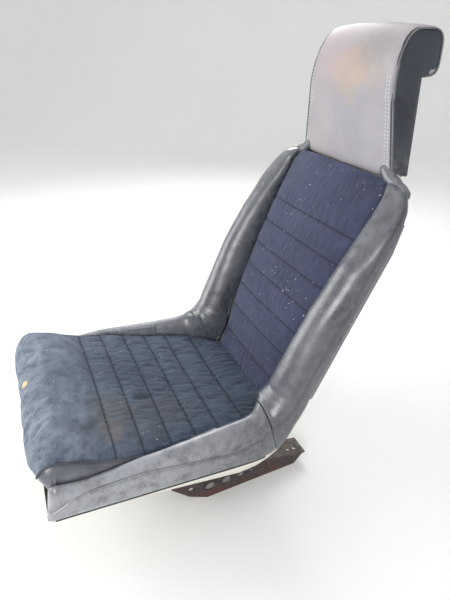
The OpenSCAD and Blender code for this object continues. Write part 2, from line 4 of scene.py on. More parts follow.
import bpy
import numpy as np
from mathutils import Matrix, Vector


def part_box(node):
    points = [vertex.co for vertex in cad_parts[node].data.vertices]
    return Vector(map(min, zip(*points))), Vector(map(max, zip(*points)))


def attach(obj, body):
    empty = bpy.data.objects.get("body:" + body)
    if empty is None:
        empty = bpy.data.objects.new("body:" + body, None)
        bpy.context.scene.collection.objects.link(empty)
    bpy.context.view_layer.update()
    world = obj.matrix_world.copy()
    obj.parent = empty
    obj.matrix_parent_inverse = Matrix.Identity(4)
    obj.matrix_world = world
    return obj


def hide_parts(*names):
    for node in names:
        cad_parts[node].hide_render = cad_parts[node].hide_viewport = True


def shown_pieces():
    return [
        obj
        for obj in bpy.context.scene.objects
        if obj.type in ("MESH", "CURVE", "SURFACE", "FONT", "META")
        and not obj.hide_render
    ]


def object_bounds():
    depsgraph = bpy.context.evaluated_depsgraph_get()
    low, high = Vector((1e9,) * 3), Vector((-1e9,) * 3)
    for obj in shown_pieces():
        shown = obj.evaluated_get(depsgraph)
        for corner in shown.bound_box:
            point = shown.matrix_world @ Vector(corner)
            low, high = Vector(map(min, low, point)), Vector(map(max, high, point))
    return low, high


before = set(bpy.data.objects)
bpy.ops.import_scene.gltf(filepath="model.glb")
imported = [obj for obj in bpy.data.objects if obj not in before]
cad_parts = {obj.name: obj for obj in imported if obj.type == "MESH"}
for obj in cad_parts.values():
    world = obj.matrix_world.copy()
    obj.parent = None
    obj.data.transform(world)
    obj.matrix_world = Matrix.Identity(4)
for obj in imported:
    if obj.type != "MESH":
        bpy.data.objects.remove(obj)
cad_low, cad_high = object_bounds()
scene = bpy.context.scene

# --- driving sizes of the seat, in metres and degrees
SEAT_LENGTH = 0.494
SEAT_FALL, BACK_LEAN, HEAD_LEAN = 11.6, 25.7, 3.0
BEND_RADIUS, NECK_RADIUS = 0.098, 0.120
NOSE_RADIUS, NOSE_FACE = 0.028, 0.034
OUTER_HALF = cad_high.x - 0.0005
WIRE_DEPTH = 0.019
COVER_THICK = 0.012
VINYL_THICK = 0.0022
RIM_GAP = 0.004

ANGLE_SEAT = math.radians(-SEAT_FALL)
ANGLE_BACK = math.radians(90 - BACK_LEAN)
ANGLE_HEAD = math.radians(90 + HEAD_LEAN)
BEND_REACH = BEND_RADIUS * math.tan((ANGLE_BACK - ANGLE_SEAT) / 2)
NECK_REACH = NECK_RADIUS * math.tan((ANGLE_HEAD - ANGLE_BACK) / 2)


def heading(a):
    return np.stack([np.cos(a), np.sin(a)], -1)


def normal(a):
    return np.stack([-np.sin(a), np.cos(a)], -1)


def crease_point():
    """Where the seat line and the back line meet, above the wires that hold the covers down."""
    low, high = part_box("listing_wires")
    middle = (low + high) / 2
    return np.array([middle.y, middle.z]) + WIRE_DEPTH * normal((ANGLE_SEAT + ANGLE_BACK) / 2)


CREASE = crease_point()
BACK_LENGTH = (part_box("back_cover")[1].z - CREASE[1]) / math.cos(math.radians(BACK_LEAN)) + 0.002
NECK = BACK_LENGTH * heading(ANGLE_BACK)
FRONT_U = -SEAT_LENGTH + 0.032


def curve(*points):
    """A smooth function through (place, value) points, level beyond both ends."""
    x, y = np.array(points, float).T
    step = np.diff(x)
    rise = np.diff(y) / step
    slope = np.zeros(len(x))
    same = rise[:-1] * rise[1:] > 0
    slope[1:-1][same] = (2 * rise[:-1] * rise[1:] / np.where(same, rise[:-1] + rise[1:], 1))[same]
    slope[0], slope[-1] = rise[0], rise[-1]

    def at(u):
        u = np.clip(u, x[0], x[-1])
        i = np.clip(np.searchsorted(x, u) - 1, 0, len(x) - 2)
        t = (u - x[i]) / step[i]
        a, b = (1 + 2 * t) * (1 - t) ** 2, t * t * (3 - 2 * t)
        c, d = t * (1 - t) ** 2, t * t * (t - 1)
        return y[i] * a + y[i + 1] * b + (slope[i] * c + slope[i + 1] * d) * step[i]

    return at


def path(u):
    """Angle and side-view point of the seat's surface line, u metres from the crease."""
    u = np.asarray(u, float)
    bend = np.clip((u + BEND_REACH) / (2 * BEND_REACH), 0, 1)
    neck = np.clip((u - BACK_LENGTH + NECK_REACH) / (2 * NECK_REACH), 0, 1)
    angle = ANGLE_SEAT + (ANGLE_BACK - ANGLE_SEAT) * bend + (ANGLE_HEAD - ANGLE_BACK) * neck
    at_seat = u[..., None] * heading(ANGLE_SEAT)
    at_bend = (-BEND_REACH * heading(ANGLE_SEAT)
               + BEND_RADIUS * (normal(ANGLE_SEAT) - normal(angle)))
    at_back = u[..., None] * heading(ANGLE_BACK)
    at_neck = (NECK - NECK_REACH * heading(ANGLE_BACK)
               + NECK_RADIUS * (normal(ANGLE_BACK) - normal(angle)))
    at_head = NECK + (u - BACK_LENGTH)[..., None] * heading(ANGLE_HEAD)
    place = np.select(
        [(u < -BEND_REACH)[..., None], (u < BEND_REACH)[..., None],
         (u < BACK_LENGTH - NECK_REACH)[..., None], (u < BACK_LENGTH + NECK_REACH)[..., None]],
        [at_seat, at_bend, at_back, at_neck], at_head)
    return angle, place


def join(x, side):
    """3-D points from x and the side view's (y, z) from the crease."""
    x, y, z = np.broadcast_arrays(x, side[..., 0] + CREASE[0], side[..., 1] + CREASE[1])
    return np.stack([x, y, z], -1)


def place(u, x, n):
    """Points x across and n above the surface line at u."""
    angle, at = path(u)
    return join(x, at + np.asarray(n)[..., None] * normal(angle))


def on_line(angle, u, x, n):
    """Points on the straight seat line or back line."""
    return join(x, np.asarray(u)[..., None] * heading(angle) + np.asarray(n)[..., None] * normal(angle))


# --- sizes that change along the surface line
seat_half = curve((-SEAT_LENGTH, 0.214), (-0.296, 0.213), (-0.22, 0.206), (-0.142, 0.194),
                  (-0.072, 0.182), (-0.036, 0.162), (0, 0.138))
back_half = curve((0, 0.138), (0.053, 0.142), (0.122, 0.149), (0.184, 0.153), (0.237, 0.157),
                  (0.312, 0.162), (0.40, 0.165), (0.499, 0.163), (BACK_LENGTH, 0.151))
crest = curve((-0.46, -0.033), (-0.42, -0.034), (-0.378, -0.027), (-0.342, -0.017), (-0.30, -0.006),
              (-0.20, 0.010), (-0.10, 0.029), (-0.04, 0.046), (0.03, 0.058), (0.24, 0.058),
              (0.335, 0.049), (0.405, 0.034), (0.458, 0.022), (0.51, 0.011), (0.532, 0.003))
side_seam = curve((-0.458, -0.082), (-0.435, -0.064), (-0.40, -0.047), (-0.355, -0.038),
                  (-0.295, -0.029), (-0.22, -0.031), (-0.12, -0.030), (-0.06, -0.006),
                  (-0.035, 0.006), (0.04, 0.014), (0.42, 0.010), (0.50, -0.004), (0.532, -0.010))
outer_half = curve((-0.47, OUTER_HALF), (0.429, OUTER_HALF - 0.002), (0.49, OUTER_HALF - 0.014),
                   (0.518, OUTER_HALF - 0.033), (BACK_LENGTH, 0.177))
rim = curve((FRONT_U, -0.112), (-1.4 * BEND_REACH, -0.077), (-0.6 * BEND_REACH, -0.070),
            (-0.3 * BEND_REACH, -0.063), (0, -0.046), (0.26 * BEND_REACH, -0.032),
            (0.6 * BEND_REACH, -0.024), (1.05 * BEND_REACH, -0.018))
CROSS_U = -0.38 * BEND_REACH
BOLSTER_END = BACK_LENGTH - 0.004


def panel_half(u):
    return np.where(np.asarray(u) < 0, seat_half(u), back_half(u))


# --- grids of points: m rows along the piece, k columns across it
def doubled(grid, axis, closed=False):
    """The grid with a row between each two, on a smooth curve through them."""
    g = np.moveaxis(grid, axis, 0)
    if closed:
        new = (9 * (g + np.roll(g, -1, 0)) - np.roll(g, 1, 0) - np.roll(g, -2, 0)) / 16
        out = np.empty((2 * len(g),) + g.shape[1:])
    else:
        e = np.concatenate([[2 * g[0] - g[1]], g, [2 * g[-1] - g[-2]]])
        new = (9 * (e[1:-2] + e[2:-1]) - e[:-3] - e[3:]) / 16
        out = np.empty((2 * len(g) - 1,) + g.shape[1:])
    out[0::2], out[1::2] = g, new
    return np.moveaxis(out, 0, axis)


def refined(grid, closed=False):
    return doubled(doubled(grid, 0), 1, closed)


def grid_normals(grid, closed=False):
    """Unit normals of a grid, pointing out for sections that run clockwise seen along it."""
    along = np.gradient(grid, axis=0)
    if closed:
        across = np.roll(grid, -1, 1) - np.roll(grid, 1, 1)
    else:
        across = np.gradient(grid, axis=1)
    n = np.cross(across, along)
    return n / np.maximum(np.linalg.norm(n, axis=-1, keepdims=True), 1e-12)


def spacing(grid, axis):
    """Distance run along an axis of the grid, from its first row or column."""
    step = np.linalg.norm(np.diff(grid, axis=axis), axis=-1)
    pad = [(1, 0), (0, 0)] if axis == 0 else [(0, 0), (1, 0)]
    return np.pad(np.cumsum(step, axis=axis), pad)


def lattice(x, y, seed):
    """Smooth random values from -1 to 1, about one bump to each unit of x and y."""
    values = np.random.default_rng(seed).uniform(-1, 1, (257, 257))
    i, j = np.floor(x).astype(int), np.floor(y).astype(int)
    s, t = x - i, y - j
    s, t = s * s * (3 - 2 * s), t * t * (3 - 2 * t)
    a, b = values[i % 257, j % 257], values[(i + 1) % 257, j % 257]
    c, d = values[i % 257, (j + 1) % 257], values[(i + 1) % 257, (j + 1) % 257]
    return (a * (1 - s) + b * s) * (1 - t) + (c * (1 - s) + d * s) * t


def bell(distance, width):
    return np.exp(-((distance / width) ** 2))


def smooth(t):
    t = np.clip(t, 0, 1)
    return t * t * (3 - 2 * t)


# --- meshes
def make_mesh(name, points, faces, flat=None):
    mesh = bpy.data.meshes.new(name)
    mesh.from_pydata([tuple(p) for p in points], [], faces)
    mesh.update()
    if flat is not None:
        layer = mesh.attributes.new("flat", "FLOAT_VECTOR", "POINT")
        layer.data.foreach_set("vector", np.ascontiguousarray(flat, np.float32).ravel())
    mesh.polygons.foreach_set("use_smooth", [True] * len(mesh.polygons))
    piece = bpy.data.objects.new(name, mesh)
    scene.collection.objects.link(piece)
    return piece


def grid_faces(m, k, start=0, closed=False, flip=False):
    """Quads of a grid of m rows and k columns whose points begin at start."""
    faces = []
    for i in range(m - 1):
        for j in range(k if closed else k - 1):
            n = (j + 1) % k
            quad = (start + i * k + j, start + i * k + n, start + (i + 1) * k + n, start + (i + 1) * k + j)
            faces.append(quad[::-1] if flip else quad)
    return faces


def flat_of(grid, along=None, across=None):
    """Cloth coordinates of a grid: across and along the piece, in metres."""
    along = spacing(grid, 0) if along is None else np.broadcast_to(along, grid.shape[:2])
    if across is None:
        across = spacing(grid, 1)
        across = across - across[:, -1:] / 2
    return np.stack([across, along, np.zeros(grid.shape[:2])], -1)


def slab(name, top, bottom, flat):
    """A closed piece between a top grid and a bottom grid of the same size."""
    m, k = top.shape[:2]
    faces = grid_faces(m, k) + grid_faces(m, k, m * k, flip=True)
    ring = ([(0, j) for j in range(k)] + [(i, k - 1) for i in range(1, m)]
            + [(m - 1, j) for j in range(k - 2, -1, -1)] + [(i, 0) for i in range(m - 2, 0, -1)])
    ids = [i * k + j for i, j in ring]
    for a, b in zip(ids, ids[1:] + ids[:1]):
        faces.append((b, a, a + m * k, b + m * k))
    points = np.concatenate([top.reshape(-1, 3), bottom.reshape(-1, 3)])
    return make_mesh(name, points, faces, np.concatenate([flat.reshape(-1, 3)] * 2))


def roll(name, grid, flat):
    """A closed piece of closed sections, with a cap at each end."""
    m, k = grid.shape[:2]
    points = np.concatenate([grid.reshape(-1, 3), [grid[0].mean(0)], [grid[-1].mean(0)]])
    faces = grid_faces(m, k, closed=True)
    faces += [((j + 1) % k, j, m * k) for j in range(k)]
    faces += [((m - 1) * k + j, (m - 1) * k + (j + 1) % k, m * k + 1) for j in range(k)]
    ends = np.stack([flat[0].mean(0), flat[-1].mean(0)])
    return make_mesh(name, points, faces, np.concatenate([flat.reshape(-1, 3), ends]))


def mirrored(grid):
    """The grid on the other side of the seat, with its columns turned so that it still faces out."""
    return (grid * np.array([-1, 1, 1]))[:, ::-1]


# --- cloth simulation: pressure fills the cover between its pinned seams
PRESSURE_FRAMES = 18


def inflated(grid, pinned, pressure, cap, looseness=0.0, closed=False, flip=False):
    """The grid after pressure has filled it as cloth. Pinned points stay, and none moves past cap."""
    m, k = grid.shape[:2]
    sheet = make_mesh("sheet", grid.reshape(-1, 3), grid_faces(m, k, closed=closed, flip=flip))
    group = sheet.vertex_groups.new(name="pinned")
    group.add([int(i) for i in np.flatnonzero(pinned)], 1.0, "REPLACE")
    cloth = sheet.modifiers.new("Cloth", "CLOTH")
    s = cloth.settings
    s.quality = 6
    s.mass = 0.25
    s.tension_stiffness = s.compression_stiffness = 20
    s.shear_stiffness = 8
    s.bending_stiffness = 0.4
    s.air_damping = 2
    s.use_pressure = True
    s.uniform_pressure_force = pressure
    s.shrink_min = -looseness
    s.vertex_group_mass = "pinned"
    s.effector_weights.gravity = 0
    cloth.collision_settings.use_collision = False
    for f in range(1, PRESSURE_FRAMES + 1):
        scene.frame_set(f)
    done = sheet.evaluated_get(bpy.context.evaluated_depsgraph_get())
    at = np.empty(m * k * 3)
    done.data.vertices.foreach_get("co", at)
    scene.frame_set(1)
    bpy.data.objects.remove(sheet)
    move = at.reshape(m, k, 3) - grid
    far = np.linalg.norm(move, axis=-1, keepdims=True)
    return grid + move * np.minimum(1, cap / np.maximum(far, 1e-9))


# --- camera: above the sitter's left front corner
CAMERA_FROM_CREASE = Vector((0.809, -0.405, 0.726))
CAMERA_TURN, CAMERA_TILT = 65.4, 30.47
FOCAL_MM = 27.68


def add_camera():
    lens = bpy.data.cameras.new("camera")
    lens.sensor_width = 36
    lens.lens = FOCAL_MM
    camera = bpy.data.objects.new("camera", lens)
    scene.collection.objects.link(camera)
    camera.location = CAMERA_FROM_CREASE + Vector((0, CREASE[0], CREASE[1]))
    turn, tilt = math.radians(CAMERA_TURN), math.radians(CAMERA_TILT)
    look = Vector((-math.sin(turn) * math.cos(tilt), math.cos(turn) * math.cos(tilt), -math.sin(tilt)))
    camera.rotation_euler = look.to_track_quat("-Z", "Y").to_euler()
    scene.camera = camera


add_camera()


# --- seat cushion: a pleated top that rolls over the front edge
SEAT_PLEATS = (0.066, 0.131, 0.186, 0.241, 0.297, 0.350)
BACK_PLEATS = (0.046, 0.115, 0.175, 0.232, 0.290, 0.348, 0.407)
NOSE_START = SEAT_LENGTH - NOSE_RADIUS
NOSE_TURN = math.radians(100)
CORNER_RISE = 0.30          # share of the front roll that is lost at its two corners
CORNER_BACK = 0.011         # how far the corners stand back from the middle of the front edge
SEAT_RUN = NOSE_START + NOSE_RADIUS * NOSE_TURN + NOSE_FACE
seat_middle = curve((0, -0.004), (0.03, -0.009), (0.066, -0.011), (0.131, -0.010), (0.186, -0.007),
                    (0.241, -0.003), (0.297, 0), (0.35, 0.002), (0.40, 0.007), (0.44, 0.013),
                    (NOSE_START, 0.015))
seat_edge = curve((0, -0.004), (0.036, -0.006), (0.072, -0.006), (0.142, -0.0085), (0.22, -0.011),
                  (0.296, -0.0085), (0.337, -0.007), (0.38, -0.001), (0.43, 0.008), (NOSE_START, 0.011))
nose_half = curve((0.40, 0), (NOSE_START, 0.001), (SEAT_RUN - 0.03, 0.005), (SEAT_RUN, 0.012))


def edge_roll(x, half):
    """The fall of a cover over its last centimetre towards the seam at its side."""
    return -0.006 * np.clip((np.abs(x) - half + 0.011) / 0.011, 0, 1) ** 2


def seat_surface(s, t, lift=0.0):
    """Point of the seat cover, s metres from the crease and t from -1 to 1 across it."""
    half = seat_half(-s) - 0.001 - nose_half(s)
    x = t * half
    s = s - CORNER_RISE * np.maximum(s - NOSE_START, 0) * np.abs(t) ** 6
    h = seat_middle(s) + (seat_edge(s) - seat_middle(s)) * np.abs(t) ** 3 + edge_roll(x, half)
    back = CORNER_BACK * np.abs(t) ** 8 * smooth((s - 0.37) / (NOSE_START - 0.37))
    flat_part = on_line(ANGLE_SEAT, back - np.minimum(s, NOSE_START), x, h + lift)
    turn = ANGLE_SEAT + np.clip((s - NOSE_START) / NOSE_RADIUS, 0, NOSE_TURN)
    drop = np.maximum(s - NOSE_START - NOSE_RADIUS * NOSE_TURN, 0)
    side = ((back - NOSE_START)[..., None] * heading(ANGLE_SEAT)
            + (h - NOSE_RADIUS)[..., None] * normal(ANGLE_SEAT)
            + (NOSE_RADIUS + lift) * normal(turn) - drop[..., None] * heading(turn))
    return np.where((s > NOSE_START)[..., None], join(x, side), flat_part)


back_middle = curve((0, -0.012), (0.046, -0.010), (0.115, 0.002), (0.175, 0.009), (0.232, 0.010),
                    (0.290, 0.011), (0.348, 0.012), (0.407, 0.011), (0.47, 0.007), (BACK_LENGTH, -0.002))
back_edge = curve((0, -0.012), (0.05, -0.012), (0.122, -0.006), (0.20, 0), (0.31, 0.001),
                  (0.50, -0.002), (BACK_LENGTH, -0.006))


def back_surface(s, t, lift=0.0):
    half = back_half(s) - 0.001
    x = t * half
    h = back_middle(s) + (back_edge(s) - back_middle(s)) * np.abs(t) ** 3 + edge_roll(x, half)
    return on_line(ANGLE_BACK, s, x, h + lift)


def stations(marks, step):
    """Places no further apart than step that include every mark, and the rows of the marks."""
    out, rows = [], []
    for a, b in zip(marks[:-1], marks[1:]):
        count = max(1, math.ceil((b - a) / step))
        rows.append(len(out))
        out += [a + (b - a) * i / count for i in range(count)]
    rows.append(len(out))
    return np.array(out + [marks[-1]]), rows


def seam_distance(s, marks):
    return np.min([np.abs(s - m) for m in marks], axis=0)


def gathers(x, s, marks, height, reach, seed):
    """Short folds along the cloth where it is gathered into each sewn line."""
    out = np.zeros(np.broadcast(x, s).shape)
    for j, mark in enumerate(marks):
        fold = lattice(x / 0.0052 + 31 * j, s / 0.030 + 5 * j, seed + j)
        patch = 0.3 + 0.9 * smooth(0.5 + lattice(x / 0.045 + 11 * j, s * 0 + j, seed + 40))
        out += height * patch * fold * np.exp(-np.abs(s - mark) / reach)
    return out


STEP = 0.0045
CUSHION_COLUMNS = 85
PLEAT_PUFF = 0.0028
TUCKED = 0.011              # how far each cushion runs on into the crease
PLEAT_SINK = 0.0018


def pleated(surface, first, run, marks, pressure, looseness, detail):
    """A sewn cover on its surface: filled between its pleats, then gathered and grooved."""
    s, rows = stations((first,) + marks + (run,), STEP)
    t = np.linspace(-1, 1, CUSHION_COLUMNS)[None, :]
    grid_s = s[:, None] + 0 * t
    puff = PLEAT_PUFF * (1 - np.exp(-seam_distance(grid_s, marks) / 0.009)) * (1 - np.abs(t) ** 8)
    lift = surface(grid_s, t + 0 * grid_s, 1.0) - surface(grid_s, t + 0 * grid_s, 0.0)
    grid = surface(grid_s, t + 0 * grid_s) + lift * (puff - PLEAT_SINK)[..., None]
    pinned = np.zeros(grid_s.shape, bool)
    pinned[[0, -1]] = pinned[:, [0, -1]] = True
    pinned[rows[1:-1]] = True
    facing_down = (grid_normals(grid) * lift).sum() < 0
    grid = inflated(grid, pinned, pressure, 0.009, looseness=looseness, flip=facing_down)
    grid, lift = refined(grid), refined(lift)
    fine_s = doubled(doubled(grid_s[..., None], 0), 1)[..., 0]
    x = grid[..., 0]
    far = seam_distance(fine_s, marks)
    move = detail(x, fine_s) - 0.0016 * bell(far, 0.0016)
    grid = grid + lift * move[..., None]
    return grid, lift, fine_s, bell(far, 0.0022)


def cushion(name, surface, run, marks, pressure, looseness, detail, nodes, turn_rows):
    grid, lift, s, seam = pleated(surface, -TUCKED, run, marks, pressure, looseness, detail)
    if turn_rows:
        grid, lift, s, seam = grid[::-1], lift[::-1], s[::-1], seam[::-1]
    flat = np.stack([grid[..., 0], s, seam], -1)
    under = -COVER_THICK - 0.004
    m, k = grid.shape[:2]
    left, right = (grid[:, c] + lift[:, c] * under for c in (0, -1))
    points = np.concatenate([grid.reshape(-1, 3), left, right])
    low, high = m * k, m * k + m
    faces = grid_faces(m, k)
    for i in range(m - 1):
        a, b = i * k, (i + 1) * k
        faces += [(a, b, low + i + 1, low + i), (low + i, low + i + 1, high + i + 1, high + i),
                  (high + i, high + i + 1, b + k - 1, a + k - 1)]
    faces.append(tuple([low] + [high] + list(range(k - 1, -1, -1))))
    faces.append(tuple([high + m - 1, low + m - 1] + [(m - 1) * k + j for j in range(k)]))
    border = np.concatenate([flat.reshape(-1, 3), flat[:, 0], flat[:, -1]])
    piece = make_mesh(name, points, faces, border)
    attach(piece, "root")
    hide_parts(*nodes)
    return piece


def seat_detail(x, s):
    at_crease = gathers(x, s, (0.004,), 0.0030, 0.030, 90)
    folds = gathers(x, s, SEAT_PLEATS, 0.0016, 0.013, 7)
    loose = 0.0012 * lattice(x / 0.05, s / 0.035, 5) + 0.0007 * lattice(x / 0.02, s / 0.03, 6)
    across = x * 0.55 + s
    creases = sum(0.0016 * bell(across - c, 0.0035) * bell(x - mid, 0.045) * smooth((s - 0.37) / 0.02)
                  for c, mid in ((0.405, -0.03), (0.418, -0.045), (0.432, -0.02), (0.447, 0.03)))
    dimple = -0.0030 * bell(np.hypot(x - 0.062, s - 0.262), 0.016)
    return at_crease + folds + loose - creases + dimple


def back_detail(x, s):
    folds = gathers(x, s, BACK_PLEATS, 0.0005, 0.012, 60)
    low = gathers(x, s, (0.004,), 0.0016, 0.022, 61)
    return folds + low + 0.0008 * lattice(x / 0.06, s / 0.05, 62)


seat_cushion = cushion("seat_cushion", seat_surface, SEAT_RUN, SEAT_PLEATS, 3.0, 0.016,
                       seat_detail, ("seat_cover", "seat_foam"), True)
back_cushion = cushion("back_cushion", back_surface, BACK_LENGTH - 0.002, BACK_PLEATS, 2.5,
                       0.002, back_detail, ("back_cover", "back_foam"), False)


# --- bolsters
END_ROUND = {"front": 0.013, "cross": 0.0045, "top": 0.014}
IN_STEPS, OUT_STEPS = 10, 12
ridge_share = curve((-0.46, 0.35), (-0.1, 0.42), (0.1, 0.44), (0.34, 0.42), (0.44, 0.30), (0.532, 0.30))


def end_inset(distance, radius):
    d = np.clip(distance / radius, 0, 1)
    return radius * (1 - np.sqrt(np.maximum(1 - (1 - d) ** 2, 0)))


def col(v):
    """Values along u as one column."""
    return np.asarray(v)[:, None]


def bolster_sections(u, first, last):
    """Closed sections of the left bolster at the places u, rounded at both ends."""
    inset = end_inset(u - u[0] + 1e-5, END_ROUND[first]) + end_inset(u[-1] - u + 1e-5, END_ROUND[last])
    x1, x2 = panel_half(u) + 0.0015, outer_half(u) - inset
    top, seam = crest(u) - inset, side_seam(u)
    ridge = ridge_share(u) * (x2 - x1)
    start = np.minimum(top - 0.010, np.where(u < -0.15, top - 0.010, -0.006 - 0.030 * bell(u, 0.06)))
    a = np.linspace(0, math.pi / 2, IN_STEPS)[None, :]
    b = np.linspace(math.pi / 2, 0, OUT_STEPS + 1)[None, 1:]
    x_in = col(x1) + col(ridge) * (1 - np.cos(a))
    n_in = col(start) + col(top - start) * np.sin(a)
    wide = col(x2 - x1 - ridge)
    x_out = col(x1 + ridge) + wide * np.cos(b)
    n_out = col(seam) + col(top - seam) * np.sin(b)
    low = np.minimum(seam - 0.022, start - 0.012)
    low = np.maximum(low, rim(u) + RIM_GAP + 0.002)
    under_x = np.stack([x2 - 0.005, x2 - 0.009, x1 + 0.6 * (x2 - x1), x1 + 0.25 * (x2 - x1), x1 + 0.002], 1)
    under_n = np.stack([seam - 0.004, low + 0.004, low, low, low + 0.004], 1)
    return np.concatenate([x_in, x_out, under_x], 1), np.concatenate([n_in, n_out, under_n], 1)


def bolster(from_u, to_u, first, last, seed):
    count = math.ceil((to_u - from_u) / 0.0055)
    middle = np.linspace(from_u, to_u, count + 1)[1:-1]
    ends = np.array([0, 0.0007, 0.0025])
    u = np.unique(np.concatenate([from_u + ends, middle[middle > from_u + 0.003], to_u - ends]))
    u = u[(u <= from_u + 0.0026) | (u >= to_u - 0.0026) | ((u > from_u + 0.004) & (u < to_u - 0.004))]
    x, n = bolster_sections(u, first, last)
    grid = place(u[:, None] + 0 * x, x, n)
    seam_column = IN_STEPS + OUT_STEPS - 1
    pinned = np.zeros(x.shape, bool)
    pinned[[0, 1, 2, -3, -2, -1]] = True
    pinned[:, [0, seam_column]] = pinned[:, seam_column + 1:] = True
    grid = inflated(grid, pinned, 3.0, 0.004, closed=True)
    grid = refined(grid, closed=True)
    u = doubled(np.repeat(u[:, None], 2, 1), 0)[:, :1] + 0 * grid[..., 0]
    run = spacing(grid, 1)
    out = grid_normals(grid, closed=True)
    high = (grid[..., 0] - panel_half(u)) / np.maximum(outer_half(u) - panel_half(u), 1e-6)
    upper = np.zeros(grid.shape[:2])
    upper[:, 1:2 * seam_column - 1] = 1
    loose = 0.0011 * lattice(u / 0.06, run / 0.04, seed) + 0.0004 * lattice(u / 0.018, run / 0.03, seed + 1)
    bend = 0.0005 * lattice(u / 0.0075, run / 0.05, seed + 2) * bell(u - 0.01, 0.055) * smooth(1.1 - high)
    near_cross = 0.0006 * lattice(u / 0.02, run / 0.0065, seed + 3) * np.exp(-np.abs(u - CROSS_U) / 0.02)
    ends_off = smooth((u - u[:1]) / 0.012) * smooth((u[-1:] - u) / 0.012)
    grid = grid + out * ((loose + bend * 0.8) * ends_off + near_cross)[..., None] * upper[..., None]
    column = 2 * seam_column
    seam = bell(np.abs(run - run[:, column:column + 1]), 0.003)
    return grid, np.stack([run, u, seam], -1), column


def finish_pair(name, grid, flat, node, build):
    """The left piece and its mirror image on the right."""
    left = build(name + "_left", grid, flat)
    right = build(name + "_right", mirrored(grid), flat[:, ::-1])
    for piece, side in ((left, "_left"), (right, "_right")):
        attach(piece, "root")
        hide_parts(node + side)


seat_roll, seat_roll_flat, seam_column = bolster(FRONT_U - 0.004, CROSS_U - 0.0006, "front", "cross", 11)
back_roll, back_roll_flat, seam_column = bolster(CROSS_U + 0.0006, BOLSTER_END, "cross", "top", 21)
finish_pair("seat_roll", seat_roll, seat_roll_flat, "seat_bolster", roll)
finish_pair("back_roll", back_roll, back_roll_flat, "back_bolster", roll)


# --- tubes that follow a line of points
def tube_grid(line, radius, sides=10):
    """Closed sections around a line of points, thinned to a tip at both ends."""
    tangent = np.gradient(line, axis=0)
    tangent /= np.linalg.norm(tangent, axis=1, keepdims=True)
    up = np.cross(tangent, [1.0, 0.02, 0.01])
    up /= np.linalg.norm(up, axis=1, keepdims=True)
    side = np.cross(tangent, up)
    a = np.linspace(0, 2 * math.pi, sides, endpoint=False)[None, :, None]
    run = np.concatenate([[0], np.cumsum(np.linalg.norm(np.diff(line, axis=0), axis=1))])
    tip = np.minimum(1, np.minimum(run, run[-1] - run) / radius)
    r = radius * np.sqrt(np.maximum(1 - (1 - tip) ** 2, 0.02))[:, None, None]
    return line[:, None] + r * (np.cos(a) * up[:, None] + np.sin(a) * side[:, None])


def resampled(line, step):
    run = np.concatenate([[0], np.cumsum(np.linalg.norm(np.diff(line, axis=0), axis=1))])
    at = np.linspace(0, run[-1], max(2, round(run[-1] / step) + 1))
    return np.stack([np.interp(at, run, line[:, c]) for c in range(3)], 1)


# --- rolled edge over each shoulder of the shell, from the bolster to the headrest
SHOULDER_FROM, SHOULDER_TO = BACK_LENGTH - 0.026, BACK_LENGTH + 0.020
SHOULDER_RADIUS = 0.0125
NECK_HALF = 0.123


def shoulders():
    u = np.linspace(SHOULDER_FROM, SHOULDER_TO, 40)
    wide = outer_half(BACK_LENGTH - 0.020) - 0.010
    share = smooth((u - BACK_LENGTH + 0.020) / 0.044)
    x = np.minimum(outer_half(u) - 0.010, wide) * (1 - share) + NECK_HALF * share - 0.002
    line = resampled(place(u, x - 0.001, rim(u) + 0.001), 0.003)
    grid = tube_grid(line, SHOULDER_RADIUS, 20)
    run = spacing(grid, 0)
    grid = grid + grid_normals(grid, True) * (0.0007 * lattice(run / 0.010, run * 0 + 3, 27))[..., None]
    flat = flat_of(grid)
    for side, at, coords in (("_left", grid, flat), ("_right", mirrored(grid), flat[:, ::-1])):
        piece = roll("shoulder_roll" + side, at, coords)
        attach(piece, "root")


shoulders()


# --- plain vinyl below the bolster seams
def strip_pair(name, node, from_u, to_u, bulge, seed, front_round=0.0, top_drop=0.0006):
    """A thin cover from the bolster's side seam down to the rim, and its mirror image."""
    u = np.linspace(from_u, to_u, math.ceil((to_u - from_u) / 0.004) + 1)
    v = np.linspace(0, 1, 15)[None, :]
    inset = end_inset(u - u[0] + 1e-5, front_round) if front_round else 0 * u
    x = outer_half(u) - inset
    top, low = side_seam(u) - top_drop, rim(u) + RIM_GAP
    n = top[:, None] + (low - top)[:, None] * v
    tuck = -0.0035 * bell(v, 0.10) - 0.0015 * bell(1 - v, 0.08)
    puff = bulge * np.sin(math.pi * v) ** 0.7 - bulge
    height = (top - low)[:, None]
    folds = 0.0009 * lattice(u[:, None] / 0.03, v * 2.5 + 0 * u[:, None], seed) * np.sin(math.pi * v)
    pull = 0.0007 * lattice(u[:, None] / 0.007, v * 2, seed + 1) * bell(v, 0.35)
    swell = (tuck + puff + folds + pull) * np.clip(height / 0.03, 0.3, 1)
    outer = place(u[:, None] + 0 * v, x[:, None] + swell, n)
    inner = place(u[:, None] + 0 * v, x[:, None] + swell - VINYL_THICK, n)
    flat = np.stack([n, u[:, None] + 0 * v, bell(v * height, 0.003)], -1)
    sides = (("_left", outer, inner, flat), ("_right", mirrored(outer), mirrored(inner), flat[:, ::-1]))
    for side, top_grid, low_grid, at in sides:
        piece = slab(name + side, top_grid, low_grid, at)
        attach(piece, "root")
        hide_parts(node + side)
    return outer


SKIRT_FRONT = FRONT_U - 0.0045
skirt_grid = strip_pair("skirt", "side_skirt", SKIRT_FRONT, CROSS_U - 0.0006,
                        0.0030, 31, front_round=0.011)
side_grid = strip_pair("back_side", "side_panel", CROSS_U + 0.0006,
                       BOLSTER_END - 0.002, 0.0020, 41)


